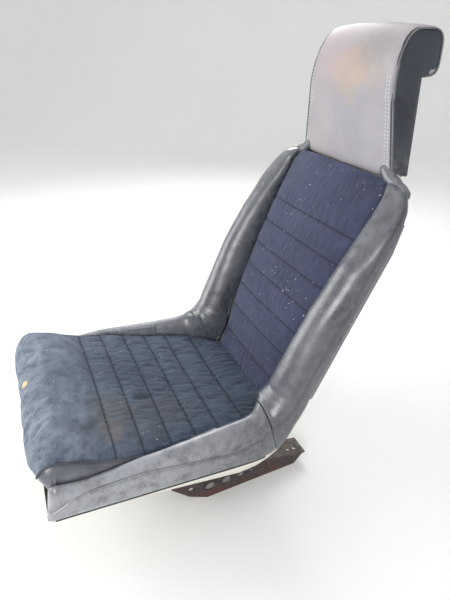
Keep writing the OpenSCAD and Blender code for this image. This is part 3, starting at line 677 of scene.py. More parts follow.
def front_skirt():
    """The plain cover across the front of the pan, between the rounded ends of the side skirts."""
    half = OUTER_HALF - 0.024
    x = np.linspace(-half, half, 65)
    n = np.linspace(rim(FRONT_U) + RIM_GAP, -NOSE_RADIUS - NOSE_FACE - 0.004, 13)[:, None] + 0 * x
    v = np.linspace(0, 1, 13)[:, None]
    swell = 0.0016 * np.sin(math.pi * v) * (1 + 0.6 * lattice(x / 0.05, v * 2, 51))
    swell = swell * smooth((half - np.abs(x)) / 0.02)
    u = FRONT_U + 0.0030 - swell
    outer = on_line(ANGLE_SEAT, u, x[None, :] + 0 * n, n)
    inner = on_line(ANGLE_SEAT, u + VINYL_THICK, x[None, :] + 0 * n, n)
    flat = np.stack([x[None, :] + 0 * n, n, 0 * n], -1)
    piece = slab("front_skirt_cover", outer, inner, flat)
    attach(piece, "root")
    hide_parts("front_skirt")


front_skirt()


# --- padded side of the rolled front edge
GUSSET_REAR = 0.312
GUSSET_BULGE = 0.010


def gusset_grids():
    face = np.linspace(NOSE_START, SEAT_RUN - 0.004, 30)[1:]
    s = np.concatenate([np.linspace(GUSSET_REAR, NOSE_START, 44), face])
    top = seat_surface(s, np.ones(len(s)), -0.0015)
    under_u = -np.minimum(s, -FRONT_U - 0.008)
    share = np.clip((s - NOSE_START) / (SEAT_RUN - 0.004 - NOSE_START), 0, 1)
    low_n = crest(under_u) - 0.012 - 0.020 * share
    low = place(under_u, panel_half(under_u) - 0.002 + 0 * s, low_n)
    v = np.linspace(0, 1, 17)[None, :, None]
    size = np.clip((s - GUSSET_REAR) / 0.09, 0, 1)[:, None, None] ** 0.8
    end = 1 - 0.75 * smooth((s - SEAT_RUN + 0.05) / 0.05)[:, None, None]
    grid = top[:, None] + (low - top)[:, None] * v
    bulge = GUSSET_BULGE * np.sin(math.pi * v) ** 0.75 * size * end
    crumple = 0.0012 * lattice(s[:, None] / 0.012, v[..., 0] * 3, 71)[..., None] * size * np.sin(math.pi * v)
    out = grid + np.array([1.0, 0, 0]) * (bulge + crumple)
    inner = grid - np.array([0.004, 0, 0]) * (0.3 + 0 * v)
    return out[::-1], inner[::-1]


def gussets():
    outer, inner = gusset_grids()
    flat = flat_of(outer)
    flat[..., 2] = 0
    for side, grids, at in (("_left", (outer, inner), flat),
                            ("_right", (mirrored(outer), mirrored(inner)), flat[:, ::-1])):
        piece = slab("nose_side" + side, grids[0], grids[1], at)
        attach(piece, "root")
        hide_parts("nose_gusset" + side)


gussets()


# --- piping and stitches
WELT_RADIUS = 0.0018


def welts():
    s = np.linspace(0.022, SEAT_RUN - 0.012, 180)
    edge = seat_surface(s, np.ones(len(s)), 0.0004) + np.array([0.0008, 0, 0])
    line = resampled(edge, 0.003)
    grid = tube_grid(line, WELT_RADIUS)
    flat = flat_of(grid)
    for side, at, coords in (("_left", grid, flat), ("_right", mirrored(grid), flat[:, ::-1])):
        piece = roll("piping" + side, at, coords)
        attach(piece, "root")
        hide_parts("seat_welt" + side)


welts()

STITCH = {"length": 0.0034, "pitch": 0.0050, "radius": 0.00048}


def stitch_rows(name, lines, scale=1.0):
    """Thread lying along lines of (points, normals): one short, slightly sunk bead to each stitch."""
    points, faces = [], []
    ring, shape = 6, ((-1.0, 0.25), (-0.6, 0.85), (0, 1), (0.6, 0.85), (1.0, 0.25))
    for line, out in lines:
        run = np.concatenate([[0], np.cumsum(np.linalg.norm(np.diff(line, axis=0), axis=1))])
        for at in np.arange(0.003, run[-1] - 0.003, STITCH["pitch"] * scale):
            half = STITCH["length"] * scale / 2
            ends = [np.array([np.interp(at + d, run, line[:, c]) for c in range(3)]) for d in (-half, half)]
            up = np.array([np.interp(at, run, out[:, c]) for c in range(3)])
            up /= np.linalg.norm(up)
            along = (ends[1] - ends[0]) / 2
            side = np.cross(along, up)
            side /= np.linalg.norm(side)
            middle = (ends[0] + ends[1]) / 2
            start = len(points)
            for where, wide in shape:
                r = STITCH["radius"] * scale * wide
                centre = middle + along * where + up * (r * 0.5 - 0.0002 - 0.0004 * where * where)
                for i in range(ring):
                    a = 2 * math.pi * i / ring
                    points.append(centre + r * (math.cos(a) * side + math.sin(a) * up))
            for i in range(len(shape) - 1):
                for j in range(ring):
                    n = (j + 1) % ring
                    a, b = start + i * ring, start + (i + 1) * ring
                    faces.append((a + j, b + j, b + n, a + n))
            faces.append(tuple(start + j for j in range(ring)))
            last = start + (len(shape) - 1) * ring
            faces.append(tuple(last + j for j in reversed(range(ring))))
    piece = make_mesh(name, points, faces)
    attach(piece, "root")
    return piece


def grid_line(grid, column, rows=slice(None), closed=True):
    """A column of a grid with its normals."""
    return grid[rows, column], grid_normals(grid, closed)[rows, column]


def both_sides(lines):
    flip = np.array([-1.0, 1, 1])
    return list(lines) + [(line * flip, out * flip) for line, out in lines]


def row_line(grid, row, columns, closed=True):
    return grid[row, columns], grid_normals(grid, closed)[row, columns]


upper = slice(2 * 1, 2 * (IN_STEPS + OUT_STEPS) - 4)
bolster_lines = both_sides([
    grid_line(back_roll, seam_column - 1, slice(8, -14)),
    grid_line(seat_roll, seam_column - 1, slice(14, -8)),
    row_line(back_roll, 9, upper), row_line(seat_roll, -10, upper)])
bolster_stitches = stitch_rows("bolster_stitches", bolster_lines)
panel_lines = both_sides([grid_line(side_grid, 2, slice(4, -4), closed=False),
                          grid_line(skirt_grid, 2, slice(8, -4), closed=False)])
panel_stitches = stitch_rows("panel_stitches", panel_lines)


# --- headrest: a cover over the front, crown and lip, two sides and a rear cover
HEAD_HEIGHT, HEAD_THICK, LIP_REACH, LIP_DROP = 0.249, 0.044, 0.044, 0.079
HEAD_BOTTOM_HALF, HEAD_TOP_HALF = 0.149, 0.116
CROWN_RISE, CROWN_RUN, LIP_ROUND = 0.102, 0.052, 0.021
REAR_LEAN = 0.012
HEAD_BASE = NECK + np.array([0.011, -0.003])
HEAD_TOP = HEAD_BASE[1] + HEAD_HEIGHT


def arc(centre, run, rise, first, last, count):
    a = np.radians(np.linspace(first, last, count))[:, None]
    return np.array(centre) + np.concatenate([run * np.cos(a), rise * np.sin(a)], 1)


def softened(line, passes):
    line = line.copy()
    for _ in range(passes):
        line[1:-1] = (line[:-2] + 2 * line[1:-1] + line[2:]) / 4
    return line


def resampled_side(points, step):
    run = np.concatenate([[0], np.cumsum(np.linalg.norm(np.diff(points, axis=0), axis=1))])
    at = np.linspace(0, run[-1], round(run[-1] / step) + 1)
    return np.stack([np.interp(at, run, points[:, c]) for c in range(2)], 1)


def head_profile():
    """Side view of the headrest from the bottom of its front, over the crown, to under the lip."""
    base, front = HEAD_BASE[0], HEAD_BASE[0] - 0.013
    rear = base + HEAD_THICK
    back = rear + LIP_REACH + 0.008
    lip = HEAD_TOP - LIP_DROP
    points = np.concatenate([
        [[base, HEAD_BASE[1]]],
        arc([front + CROWN_RUN, HEAD_TOP - CROWN_RISE], CROWN_RUN, CROWN_RISE, 180, 90, 16),
        arc([back - LIP_ROUND, HEAD_TOP - LIP_ROUND], LIP_ROUND, LIP_ROUND, 90, 0, 8),
        arc([back - LIP_ROUND - 0.004, lip + LIP_ROUND], LIP_ROUND, LIP_ROUND, 0, -90, 8),
        [[rear + REAR_LEAN, lip]]])
    return softened(resampled_side(points, 0.004), 6), np.array([rear, HEAD_BASE[1]])


def head_half(z):
    share = (z - HEAD_BASE[1]) / HEAD_HEIGHT
    return HEAD_BOTTOM_HALF + (HEAD_TOP_HALF - HEAD_BOTTOM_HALF) * share


def profile_normals(line):
    tangent = np.gradient(line, axis=0)
    tangent /= np.linalg.norm(tangent, axis=1, keepdims=True)
    return np.stack([-tangent[:, 1], tangent[:, 0]], 1)


front_line, rear_bottom = head_profile()
HEAD_COLUMNS = 61
HEAD_EDGE = 0.007


def head_cover(line, bulge, pressure, seed, tuck=0.004):
    """A cover across the headrest along a side-view line: crowned, rolled over at its sides."""
    out = profile_normals(line)
    run = np.concatenate([[0], np.cumsum(np.linalg.norm(np.diff(line, axis=0), axis=1))])
    t = np.linspace(-1, 1, HEAD_COLUMNS)[None, :]
    half = (head_half(line[:, 1]) - 0.0008)[:, None]
    x = half * t
    over = np.clip((np.abs(x) - half + HEAD_EDGE) / HEAD_EDGE, 0, 1)
    ends = bell(run / 0.006, 1)[:, None] + bell((run[-1] - run) / 0.006, 1)[:, None]
    n = bulge * (1 - np.abs(t) ** 2.6) - HEAD_EDGE * (1 - np.sqrt(1 - 0.98 * over ** 2)) - tuck * ends
    side = line[:, None] + out[:, None] * n[..., None]
    grid = join(x, side)
    pinned = np.zeros(x.shape, bool)
    pinned[[0, -1]] = pinned[:, [0, 1, -2, -1]] = True
    grid = inflated(grid, pinned, pressure, 0.006)
    grid = refined(grid)
    lift = join(0 * x, line[:, None] + out[:, None]) - join(0 * x, line[:, None] + 0 * out[:, None])
    lift = refined(lift)
    run = doubled(run[:, None], 0)
    across = grid[..., 0]
    loose = 0.0008 * lattice(across / 0.05, run / 0.06, seed)
    loose = loose + 0.0003 * lattice(across / 0.016, run / 0.02, seed + 1)
    grid = grid + lift * loose[..., None]
    flat = np.stack([across, run + 0 * across, 0 * across], -1)
    return grid, lift, flat


def backed(name, grid, lift, flat, under):
    """A closed piece: the grid, walls down by under at its edges, and a plain back."""
    m, k = grid.shape[:2]
    left, right = (grid[:, c] - lift[:, c] * under for c in (0, -1))
    points = np.concatenate([grid.reshape(-1, 3), left, right])
    low, high = m * k, m * k + m
    faces = grid_faces(m, k)
    for i in range(m - 1):
        a, b = i * k, (i + 1) * k
        faces += [(a, b, low + i + 1, low + i), (low + i, low + i + 1, high + i + 1, high + i),
                  (high + i, high + i + 1, b + k - 1, a + k - 1)]
    faces.append(tuple([low] + [high] + list(range(k - 1, -1, -1))))
    faces.append(tuple([high + m - 1, low + m - 1] + [(m - 1) * k + j for j in range(k)]))
    return make_mesh(name, points, faces, np.concatenate([flat.reshape(-1, 3), flat[:, 0], flat[:, -1]]))


head_grid, head_lift, head_flat = head_cover(front_line, 0.007, 2.5, 101)
head_front = backed("headrest_front", head_grid, head_lift, head_flat, 0.006)
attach(head_front, "root")
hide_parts("headrest_front_cover", "headrest_foam")

rear_line = resampled_side(np.array([front_line[-1], rear_bottom]), 0.004)
rear_grid, rear_lift, rear_flat = head_cover(rear_line, 0.003, 1.5, 111, tuck=0.001)
head_rear = backed("headrest_rear", rear_grid, rear_lift, rear_flat, 0.004)
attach(head_rear, "root")
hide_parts("headrest_rear_cover")

SIDE_RINGS = 16
SIDE_BULGE = 0.0045


def nearest_on(line, points):
    """The nearest place on a side-view line to each point."""
    a, b = line[:-1], line[1:]
    d = b - a
    t = np.clip(((points[:, None] - a) * d).sum(-1) / (d * d).sum(-1), 0, 1)
    at = a + t[..., None] * d
    best = np.argmin(np.linalg.norm(points[:, None] - at, axis=-1), 1)
    return at[np.arange(len(points)), best]


def head_side_outline():
    rear = resampled_side(np.array([front_line[-1], rear_bottom]), 0.004)
    bottom = resampled_side(np.array([rear_bottom, front_line[0]]), 0.004)
    return np.concatenate([front_line[:-1], rear[:-1], bottom[:-1]])[::-1]


def headrest_sides():
    outline = head_side_outline()
    base = HEAD_BASE
    spine = np.array([[0.022, 0.016], [0.020, 0.09], [0.023, 0.15], [0.040, 0.200], [0.066, 0.208]]) + base
    spine = softened(resampled_side(spine, 0.004), 8)
    centre = nearest_on(spine, outline)
    depth = np.linalg.norm(centre - outline, axis=1)
    grid, inner = [], []
    for t in np.linspace(0, 0.93, SIDE_RINGS) ** 1.2:
        at = outline + (centre - outline) * t
        distance = t * depth
        swell = SIDE_BULGE * (1 - (1 - t) ** 2) - 0.0035 * np.exp(-distance / 0.0035)
        swell = swell + 0.0007 * lattice(at[:, 0] / 0.02, at[:, 1] / 0.03, 121) * smooth(distance / 0.01)
        grid.append(join(head_half(at[:, 1]) - 0.0015 + swell, at))
        inner.append(join(head_half(at[:, 1]) - 0.0015 - 0.007 + 0 * swell, at))
    grid, inner = np.array(grid), np.array(inner)
    m, k = grid.shape[:2]
    faces = grid_faces(m, k, closed=True) + [tuple((m - 1) * k + j for j in range(k))]
    faces += grid_faces(m, k, m * k, closed=True, flip=True)
    faces += [tuple(m * k + (m - 1) * k + j for j in range(k - 1, -1, -1))]
    faces += [(m * k + j, m * k + (j + 1) % k, (j + 1) % k, j) for j in range(k)]
    points = np.concatenate([grid.reshape(-1, 3), inner.reshape(-1, 3)])
    flat = np.stack([points[:, 1], points[:, 2] - CREASE[1] - HEAD_BASE[1], 0 * points[:, 0]], -1)
    flip = np.array([-1.0, 1, 1])
    left = make_mesh("headrest_side_cover_left", points, faces, flat)
    right = make_mesh("headrest_side_cover_right", points * flip, [f[::-1] for f in faces], flat)
    for piece, side in ((left, "left"), (right, "right")):
        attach(piece, "root")
        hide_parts("headrest_side_" + side)
    return left, right


head_sides = headrest_sides()

SEAM_RADIUS = 0.0016


def head_seams():
    """The sewn ridge where the front cover meets each side."""
    line = join(head_half(front_line[:, 1]) - 0.0008, front_line - profile_normals(front_line) * 0.0022)
    grid = tube_grid(resampled(line[1:-1], 0.003), SEAM_RADIUS, 8)
    flat = flat_of(grid)
    for side, at, coords in (("_left", grid, flat), ("_right", mirrored(grid), flat[:, ::-1])):
        piece = roll("headrest_seam" + side, at, coords)
        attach(piece, "root")


head_seams()
rows = slice(8, 2 * 46)
head_lines = both_sides([grid_line(head_grid, column, rows, closed=False) for column in (-5, -8)])
head_stitches = stitch_rows("headrest_stitches", head_lines, 1.3)


# --- materials
class Finish:
    """A node material with short calls for the patterns that the finishes share."""

    def __init__(self, name):
        self.material = bpy.data.materials.new(name)
        self.material.use_nodes = True
        self.tree = self.material.node_tree
        self.shader = self.tree.nodes["Principled BSDF"]
        self.place = self.node("TexCoord").outputs["Object"]
        self.flat = self.node("Attribute", attribute_name="flat").outputs["Vector"]

    def put(self, socket, value):
        if isinstance(value, bpy.types.NodeSocket):
            self.tree.links.new(value, socket)
        elif isinstance(value, (tuple, list)) and len(value) == 3 and len(socket.default_value) == 4:
            socket.default_value = (*value, 1)
        else:
            socket.default_value = value

    def node(self, kind, values=(), **settings):
        made = self.tree.nodes.new("ShaderNode" + kind)
        for key, value in settings.items():
            setattr(made, key, value)
        for key, value in dict(values).items():
            self.put(made.inputs[key], value)
        return made

    def math(self, operation, a, b=0.0, c=0.0, clamp=False):
        made = self.node("Math", {0: a, 1: b, 2: c}, operation=operation, use_clamp=clamp)
        return made.outputs[0]

    def stretched(self, vector, x, y, z=1.0):
        return self.node("VectorMath", {0: vector, 1: (x, y, z)}, operation="MULTIPLY").outputs[0]

    def noise(self, vector, scale, detail=4.0, roughness=0.55, twist=0.0):
        values = {"Vector": vector, "Scale": scale, "Detail": detail, "Roughness": roughness,
                  "Distortion": twist}
        return self.node("TexNoise", values).outputs["Fac"]

    def cells(self, vector, scale, output="Distance", feature="F1"):
        return self.node("TexVoronoi", {"Vector": vector, "Scale": scale}, feature=feature).outputs[output]

    def part(self, vector, axis):
        return self.node("SeparateXYZ", {0: vector}).outputs[axis]

    def step(self, value, low, high, first=0.0, last=1.0):
        values = {"Value": value, "From Min": low, "From Max": high, "To Min": first, "To Max": last}
        return self.node("MapRange", values, interpolation_type="SMOOTHSTEP").outputs[0]

    def mix(self, share, a, b):
        made = self.node("Mix", data_type="RGBA")
        for key, value in ((0, share), (6, a), (7, b)):
            self.put(made.inputs[key], value)
        return made.outputs[2]

    def bump(self, height, strength, distance, under=None):
        values = {"Height": height, "Strength": strength, "Distance": distance}
        if under is not None:
            values["Normal"] = under
        return self.node("Bump", values).outputs[0]

    def finish(self, colour, roughness, bump=None, **constants):
        self.put(self.shader.inputs["Base Color"], colour)
        self.put(self.shader.inputs["Roughness"], roughness)
        if bump is not None:
            self.put(self.shader.inputs["Normal"], bump)
        for key, value in constants.items():
            self.put(self.shader.inputs[key.replace("_", " ")], value)
        return self.material


def upward(f):
    """How far the surface faces up."""
    return f.part(f.node("NewGeometry").outputs["Normal"], 2)


def vinyl(name, dark, light, worn, grain=850, roughness=(0.34, 0.5), wear_and_top_light=1.0, bleach_and_highlight=0.0):
    """Grained vinyl: cloudy colour, pale scuffs, upper faces lighter from wear and painted top light, a
    painted highlight with some fading towards the seat's front, dark stitched seams.
    """
    f = Finish(name)
    cloud = f.noise(f.place, 9, 6, 0.6, 0.4)
    fine = f.noise(f.place, 60, 5, 0.65)
    base = f.mix(f.step(cloud, 0.3, 0.7), dark, light)
    base = f.mix(f.step(fine, 0.35, 0.75, 0, 0.35), base, worn)
    # Lighter where the surface faces up: partly wear, partly painted light falling on the tops.
    top = f.math("MULTIPLY", f.step(upward(f), -0.1, 0.9), f.step(f.noise(f.place, 22, 5, 0.7), 0.25, 0.7))
    base = f.mix(f.math("MULTIPLY", top, 0.45 * wear_and_top_light), base, worn)
    # Paler towards the seat's front: partly faded vinyl, partly a painted highlight on the seat rolls.
    if bleach_and_highlight:
        front = f.math("ADD", f.part(f.flat, 1), f.math("MULTIPLY", f.noise(f.place, 14, 6, 0.7), 0.12))
        front = f.math("MULTIPLY", f.step(front, 0.10, -0.24), f.step(f.noise(f.place, 30, 6, 0.7), 0.2, 0.6))
        base = f.mix(f.math("MULTIPLY", front, bleach_and_highlight), base, tuple(c * 1.9 for c in worn))
    scuff_place = f.stretched(f.place, 1, 0.35, 0.6)
    scuffs = f.step(f.noise(scuff_place, 95, 7, 0.7, 0.6), 0.63, 0.75)
    scuffs = f.math("MULTIPLY", scuffs, f.step(f.noise(f.place, 7, 3), 0.42, 0.62))
    base = f.mix(f.math("MULTIPLY", scuffs, 0.5 * wear_and_top_light), base, tuple(min(1, c * 1.9) for c in worn))
    seam = f.part(f.flat, 2)
    base = f.mix(f.math("MULTIPLY", seam, 0.65), base, tuple(c * 0.35 for c in dark))
    pebbles = f.cells(f.place, grain)
    folds = f.noise(f.place, 260, 4, 0.6)
    height = f.math("ADD", f.math("MULTIPLY", pebbles, 0.6), f.math("MULTIPLY", folds, 0.7))
    grain_bump = f.bump(height, 0.30, 0.0006)
    creases = f.bump(f.noise(f.stretched(f.place, 1, 0.4, 0.5), 38, 6, 0.7, 1.0), 0.22, 0.004, grain_bump)
    rough = f.step(f.math("ADD", cloud, f.math("MULTIPLY", scuffs, 0.3)), 0.3, 0.8, *roughness)
    return f.finish(base, rough, creases, Specular_IOR_Level=0.65, Coat_Weight=0.35, Coat_Roughness=0.22)


def oval(f, across, along, centre, size):
    """Distance from the middle of an oval on the cloth, 1 at its border."""
    wide = f.math("DIVIDE", f.math("SUBTRACT", across, centre[0]), size[0])
    tall = f.math("DIVIDE", f.math("SUBTRACT", along, centre[1]), size[1])
    return f.math("SQRT", f.math("ADD", f.math("MULTIPLY", wide, wide), f.math("MULTIPLY", tall, tall)))


def soiled(f, base, spots):
    """Ragged stains and tears on the cloth: each a place, a size, a strength and a colour."""
    across, along = f.part(f.flat, 0), f.part(f.flat, 1)
    for centre, size, ragged, strength, colour in spots:
        uneven = f.noise(f.place, 0.9 / size[0], 7, 0.7, 0.6)
        rough = f.math("MULTIPLY", f.math("SUBTRACT", uneven, 0.5), ragged)
        reach = f.math("ADD", oval(f, across, along, centre, size), rough)
        base = f.mix(f.step(reach, 1.05, 0.45, 0, strength), base, colour)
    return base


def cord_cloth(name, deep, pale, dust_and_sheen, dust_sheen_from, dust_sheen_to, lint, spots=()):
    """Needlecord: fine lengthwise ribs with a soft nap, streaks, dust mixed with painted sheen along part of
    its length, and specks of lint.
    """
    f = Finish(name)
    streaks = f.noise(f.stretched(f.flat, 1, 0.10), 260, 4, 0.6)
    cloud = f.noise(f.place, 11, 6, 0.62, 0.5)
    base = f.mix(f.step(cloud, 0.3, 0.72), deep, pale)
    base = f.mix(f.step(streaks, 0.35, 0.75, 0, 0.45), base, tuple(c * 1.45 for c in pale))
    # Paler over the front of the cloth: partly dust, partly painted sheen where light grazes the nose.
    along = f.part(f.flat, 1)
    ragged = f.math("ADD", along, f.math("MULTIPLY", f.noise(f.place, 8, 5, 0.65, 1.2), 0.22))
    broken = f.step(f.noise(f.place, 34, 6, 0.75), 0.2, 0.75)
    dust = f.math("MULTIPLY", f.step(ragged, dust_sheen_from + 0.11, dust_sheen_to + 0.11), broken)
    base = f.mix(f.math("MULTIPLY", dust, 0.8), base, dust_and_sheen)
    base = soiled(f, base, spots)
    nap = f.noise(f.place, 700, 3, 0.7)
    base = f.mix(f.step(nap, 0.45, 0.8, 0, 0.3), base, dust_and_sheen)
    seam = f.part(f.flat, 2)
    base = f.mix(f.math("MULTIPLY", seam, 0.7), base, tuple(c * 0.3 for c in deep))
    spot = f.node("TexVoronoi", {"Vector": f.place, "Scale": 150.0})
    chosen = f.step(f.part(spot.outputs["Color"], 0), 1 - lint, 1 - lint * 0.9)
    patches = f.step(f.noise(f.place, 10, 3), 0.45, 0.6)
    dots = f.step(spot.outputs["Distance"], 0.22, 0.10)
    specks = f.math("MULTIPLY", f.math("MULTIPLY", dots, chosen), patches)
    base = f.mix(specks, base, (0.62, 0.62, 0.6))
    ribs = f.math("SINE", f.math("MULTIPLY", f.part(f.flat, 0), 2 * math.pi / 0.0021))
    height = f.math("ADD", f.math("MULTIPLY", ribs, 0.35), f.math("MULTIPLY", nap, 0.8))
    height = f.math("ADD", height, f.math("MULTIPLY", streaks, 0.8))
    return f.finish(base, f.step(cloud, 0.3, 0.7, 0.82, 0.95), f.bump(height, 0.5, 0.0007),
                    Sheen_Weight=0.35, Sheen_Roughness=0.45, Sheen_Tint=(0.62, 0.70, 0.85),
                    Specular_IOR_Level=0.25)


def paint_on(pieces, material):
    for piece in pieces:
        piece.data.materials.clear()
        piece.data.materials.append(material)


HEAD_SPOTS = (
    ((0.015, 0.185), (0.092, 0.056), 3.4, 0.42, (0.34, 0.262, 0.215)),
    ((0.005, 0.178), (0.062, 0.034), 4.4, 0.34, (0.40, 0.290, 0.205)),
    ((0.060, 0.225), (0.060, 0.045), 2.2, 0.35, (0.20, 0.185, 0.180)),
    ((-0.060, 0.205), (0.060, 0.070), 2.0, 0.30, (0.38, 0.290, 0.300)),
)


def headrest_vinyl():
    """Smooth pale vinyl with cloudy tints and one rubbed brown stain under the crown."""
    f = Finish("headrest_vinyl")
    cloud = f.noise(f.place, 7, 5, 0.6, 0.5)
    tint = f.noise(f.place, 4.5, 4, 0.6, 0.8)
    base = f.mix(f.step(cloud, 0.3, 0.7), (0.255, 0.250, 0.275), (0.335, 0.315, 0.330))
    base = f.mix(f.step(tint, 0.45, 0.7, 0, 0.5), base, (0.340, 0.285, 0.295))
    base = soiled(f, base, HEAD_SPOTS)
    dirt = f.step(f.noise(f.place, 120, 5, 0.7), 0.62, 0.75)
    base = f.mix(f.math("MULTIPLY", dirt, 0.25), base, (0.17, 0.16, 0.16))
    # Painted shade: the lowest 3 cm of the front darker, towards the seam above the back.
    low = f.step(f.part(f.flat, 1), 0.03, 0.0)
    base = f.mix(f.math("MULTIPLY", low, 0.35), base, (0.20, 0.20, 0.21))
    height = f.math("ADD", f.math("MULTIPLY", f.cells(f.place, 900), 0.5), f.noise(f.place, 320, 4, 0.6))
    rough = f.step(cloud, 0.3, 0.8, 0.50, 0.66)
    return f.finish(base, rough, f.bump(height, 0.22, 0.0005), Specular_IOR_Level=0.35)


def headrest_side_vinyl():
    """Dark vinyl, rubbed grey along its lower end."""
    f = Finish("headrest_side_vinyl")
    cloud = f.noise(f.place, 12, 6, 0.62, 0.6)
    base = f.mix(f.step(cloud, 0.3, 0.7), (0.014, 0.017, 0.026), (0.034, 0.039, 0.054))
    height = f.part(f.flat, 1)
    worn = f.math("MULTIPLY", f.step(f.math("ADD", height, f.math("MULTIPLY", cloud, 0.05)), 0.105, 0.02),
                  f.step(f.noise(f.place, 42, 7, 0.75), 0.42, 0.66))
    base = f.mix(f.math("MULTIPLY", worn, 0.75), base, (0.150, 0.150, 0.148))
    rub = f.step(f.noise(f.stretched(f.place, 1, 1, 0.4), 55, 7, 0.72), 0.60, 0.74)
    base = f.mix(f.math("MULTIPLY", rub, 0.25), base, (0.115, 0.12, 0.135))
    grain = f.bump(f.math("ADD", f.cells(f.place, 800), f.noise(f.place, 240, 4)), 0.30, 0.0006)
    creases = f.bump(f.noise(f.place, 45, 6, 0.7, 0.8), 0.18, 0.003, grain)
    return f.finish(base, f.step(cloud, 0.3, 0.7, 0.38, 0.52), creases, Specular_IOR_Level=0.5)


def bracket_steel():
    """Dark painted steel, rusting through in patches and along its lower edge."""
    f = Finish("bracket_steel")
    cloud = f.noise(f.place, 30, 8, 0.7, 0.6)
    paint = f.mix(f.step(f.noise(f.place, 110, 5, 0.6), 0.35, 0.7),
                  (0.024, 0.016, 0.018), (0.060, 0.042, 0.042))
    rust = f.mix(f.step(f.noise(f.place, 170, 6, 0.7), 0.35, 0.7),
                 (0.055, 0.026, 0.022), (0.145, 0.070, 0.048))
    low = f.step(f.part(f.place, 2), 0.035, 0.0, 0, 0.10)
    eaten = f.step(f.math("ADD", cloud, low), 0.52, 0.62)
    base = f.mix(f.math("MULTIPLY", eaten, 0.85), paint, rust)
    dust = f.math("MULTIPLY", f.step(upward(f), 0.2, 0.9), f.step(f.noise(f.place, 80, 6, 0.7), 0.4, 0.65))
    base = f.mix(f.math("MULTIPLY", dust, 0.5), base, (0.23, 0.20, 0.18))
    height = f.math("ADD", f.math("MULTIPLY", eaten, 0.5), f.noise(f.place, 420, 6, 0.75))
    return f.finish(base, f.step(eaten, 0, 1, 0.48, 0.88), f.bump(height, 0.55, 0.0012), Metallic=0.0,
                    Specular_IOR_Level=0.45)


def shell_moulding():
    """Pale moulded shell with a glossy gel coat, hairline scratches and patches of grime."""
    f = Finish("shell_moulding")
    cloud = f.noise(f.place, 6, 6, 0.6, 0.3)
    base = f.mix(f.step(cloud, 0.3, 0.7), (0.66, 0.63, 0.55), (0.76, 0.74, 0.67))
    strands = f.noise(f.stretched(f.place, 1, 0.15, 0.15), 320, 6, 0.7, 2.5)
    base = f.mix(f.step(strands, 0.55, 0.75, 0, 0.35), base, (0.58, 0.55, 0.46))
    grime = f.step(f.noise(f.place, 16, 8, 0.75, 0.5), 0.56, 0.74)
    base = f.mix(f.math("MULTIPLY", grime, 0.5), base, (0.31, 0.28, 0.23))
    height = f.math("ADD", f.math("MULTIPLY", strands, 0.7), f.noise(f.place, 45, 4))
    return f.finish(base, f.step(grime, 0, 1, 0.34, 0.62), f.bump(height, 0.18, 0.0010))


def plain_vinyl(name, dark, light):
    return vinyl(name, dark, light, (0.10, 0.105, 0.115), wear_and_top_light=0.5)


def rubber():
    f = Finish("edge_rubber")
    cloud = f.noise(f.place, 40, 6, 0.65)
    base = f.mix(f.step(cloud, 0.3, 0.7), (0.008, 0.008, 0.009), (0.022, 0.022, 0.023))
    dust = f.step(f.noise(f.place, 140, 6, 0.7), 0.55, 0.75)
    base = f.mix(f.math("MULTIPLY", dust, 0.35), base, (0.12, 0.115, 0.105))
    return f.finish(base, f.step(cloud, 0.3, 0.7, 0.55, 0.75), f.bump(f.noise(f.place, 500, 4), 0.3, 0.0005))


def plated_steel():
    """Zinc plate gone dull, with white bloom and rust specks."""
    f = Finish("plated_steel")
    cloud = f.noise(f.place, 140, 6, 0.7)
    base = f.mix(f.step(cloud, 0.3, 0.7), (0.38, 0.36, 0.31), (0.56, 0.55, 0.51))
    rust = f.step(f.noise(f.place, 260, 6, 0.7), 0.60, 0.70)
    base = f.mix(f.math("MULTIPLY", rust, 0.8), base, (0.21, 0.09, 0.04))
    return f.finish(base, f.step(cloud, 0.3, 0.7, 0.34, 0.58), f.bump(cloud, 0.25, 0.0006), Metallic=0.85)


def thread(name, first, second):
    """Twisted sewing thread."""
    f = Finish(name)
    twist = f.noise(f.place, 1800, 3, 0.7)
    base = f.mix(f.step(twist, 0.3, 0.7), first, second)
    return f.finish(base, f.step(twist, 0.3, 0.7, 0.55, 0.8), f.bump(twist, 0.6, 0.0002), Sheen_Weight=0.2)


def piping_cloth():
    f = Finish("piping")
    weave = f.noise(f.place, 900, 3, 0.7)
    cloud = f.noise(f.place, 30, 5, 0.6)
    base = f.mix(f.step(cloud, 0.3, 0.7), (0.018, 0.020, 0.030), (0.050, 0.056, 0.072))
    base = f.mix(f.step(weave, 0.5, 0.8, 0, 0.3), base, (0.12, 0.13, 0.15))
    return f.finish(base, f.step(weave, 0.3, 0.7, 0.6, 0.85), f.bump(weave, 0.4, 0.0005), Sheen_Weight=0.2)


def pieces_named(*starts):
    return [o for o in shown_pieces() if o.name.startswith(starts)]


# Its worn colour also carries a painted highlight over the seat-side rolls.
bolster_finish = vinyl("bolster_vinyl", (0.032, 0.035, 0.044), (0.078, 0.084, 0.101), (0.185, 0.192, 0.208),
                       roughness=(0.24, 0.42), bleach_and_highlight=0.70)
paint_on(pieces_named("seat_roll", "back_roll", "shoulder_roll", "skirt", "back_side", "front_skirt_cover"),
         bolster_finish)
SEAT_SPOTS = (
    ((0.105, 0.335), (0.085, 0.070), 2.0, 0.55, (0.085, 0.080, 0.084)),
    ((0.120, 0.235), (0.060, 0.090), 2.4, 0.40, (0.060, 0.058, 0.062)),
    ((0.062, 0.262), (0.017, 0.024), 1.6, 0.75, (0.012, 0.014, 0.022)),
    ((0.150, 0.345), (0.036, 0.024), 2.6, 0.30, (0.170, 0.130, 0.095)),
    ((-0.020, NOSE_START + 0.028), (0.011, 0.009), 0.9, 0.95, (0.66, 0.47, 0.17)),
)
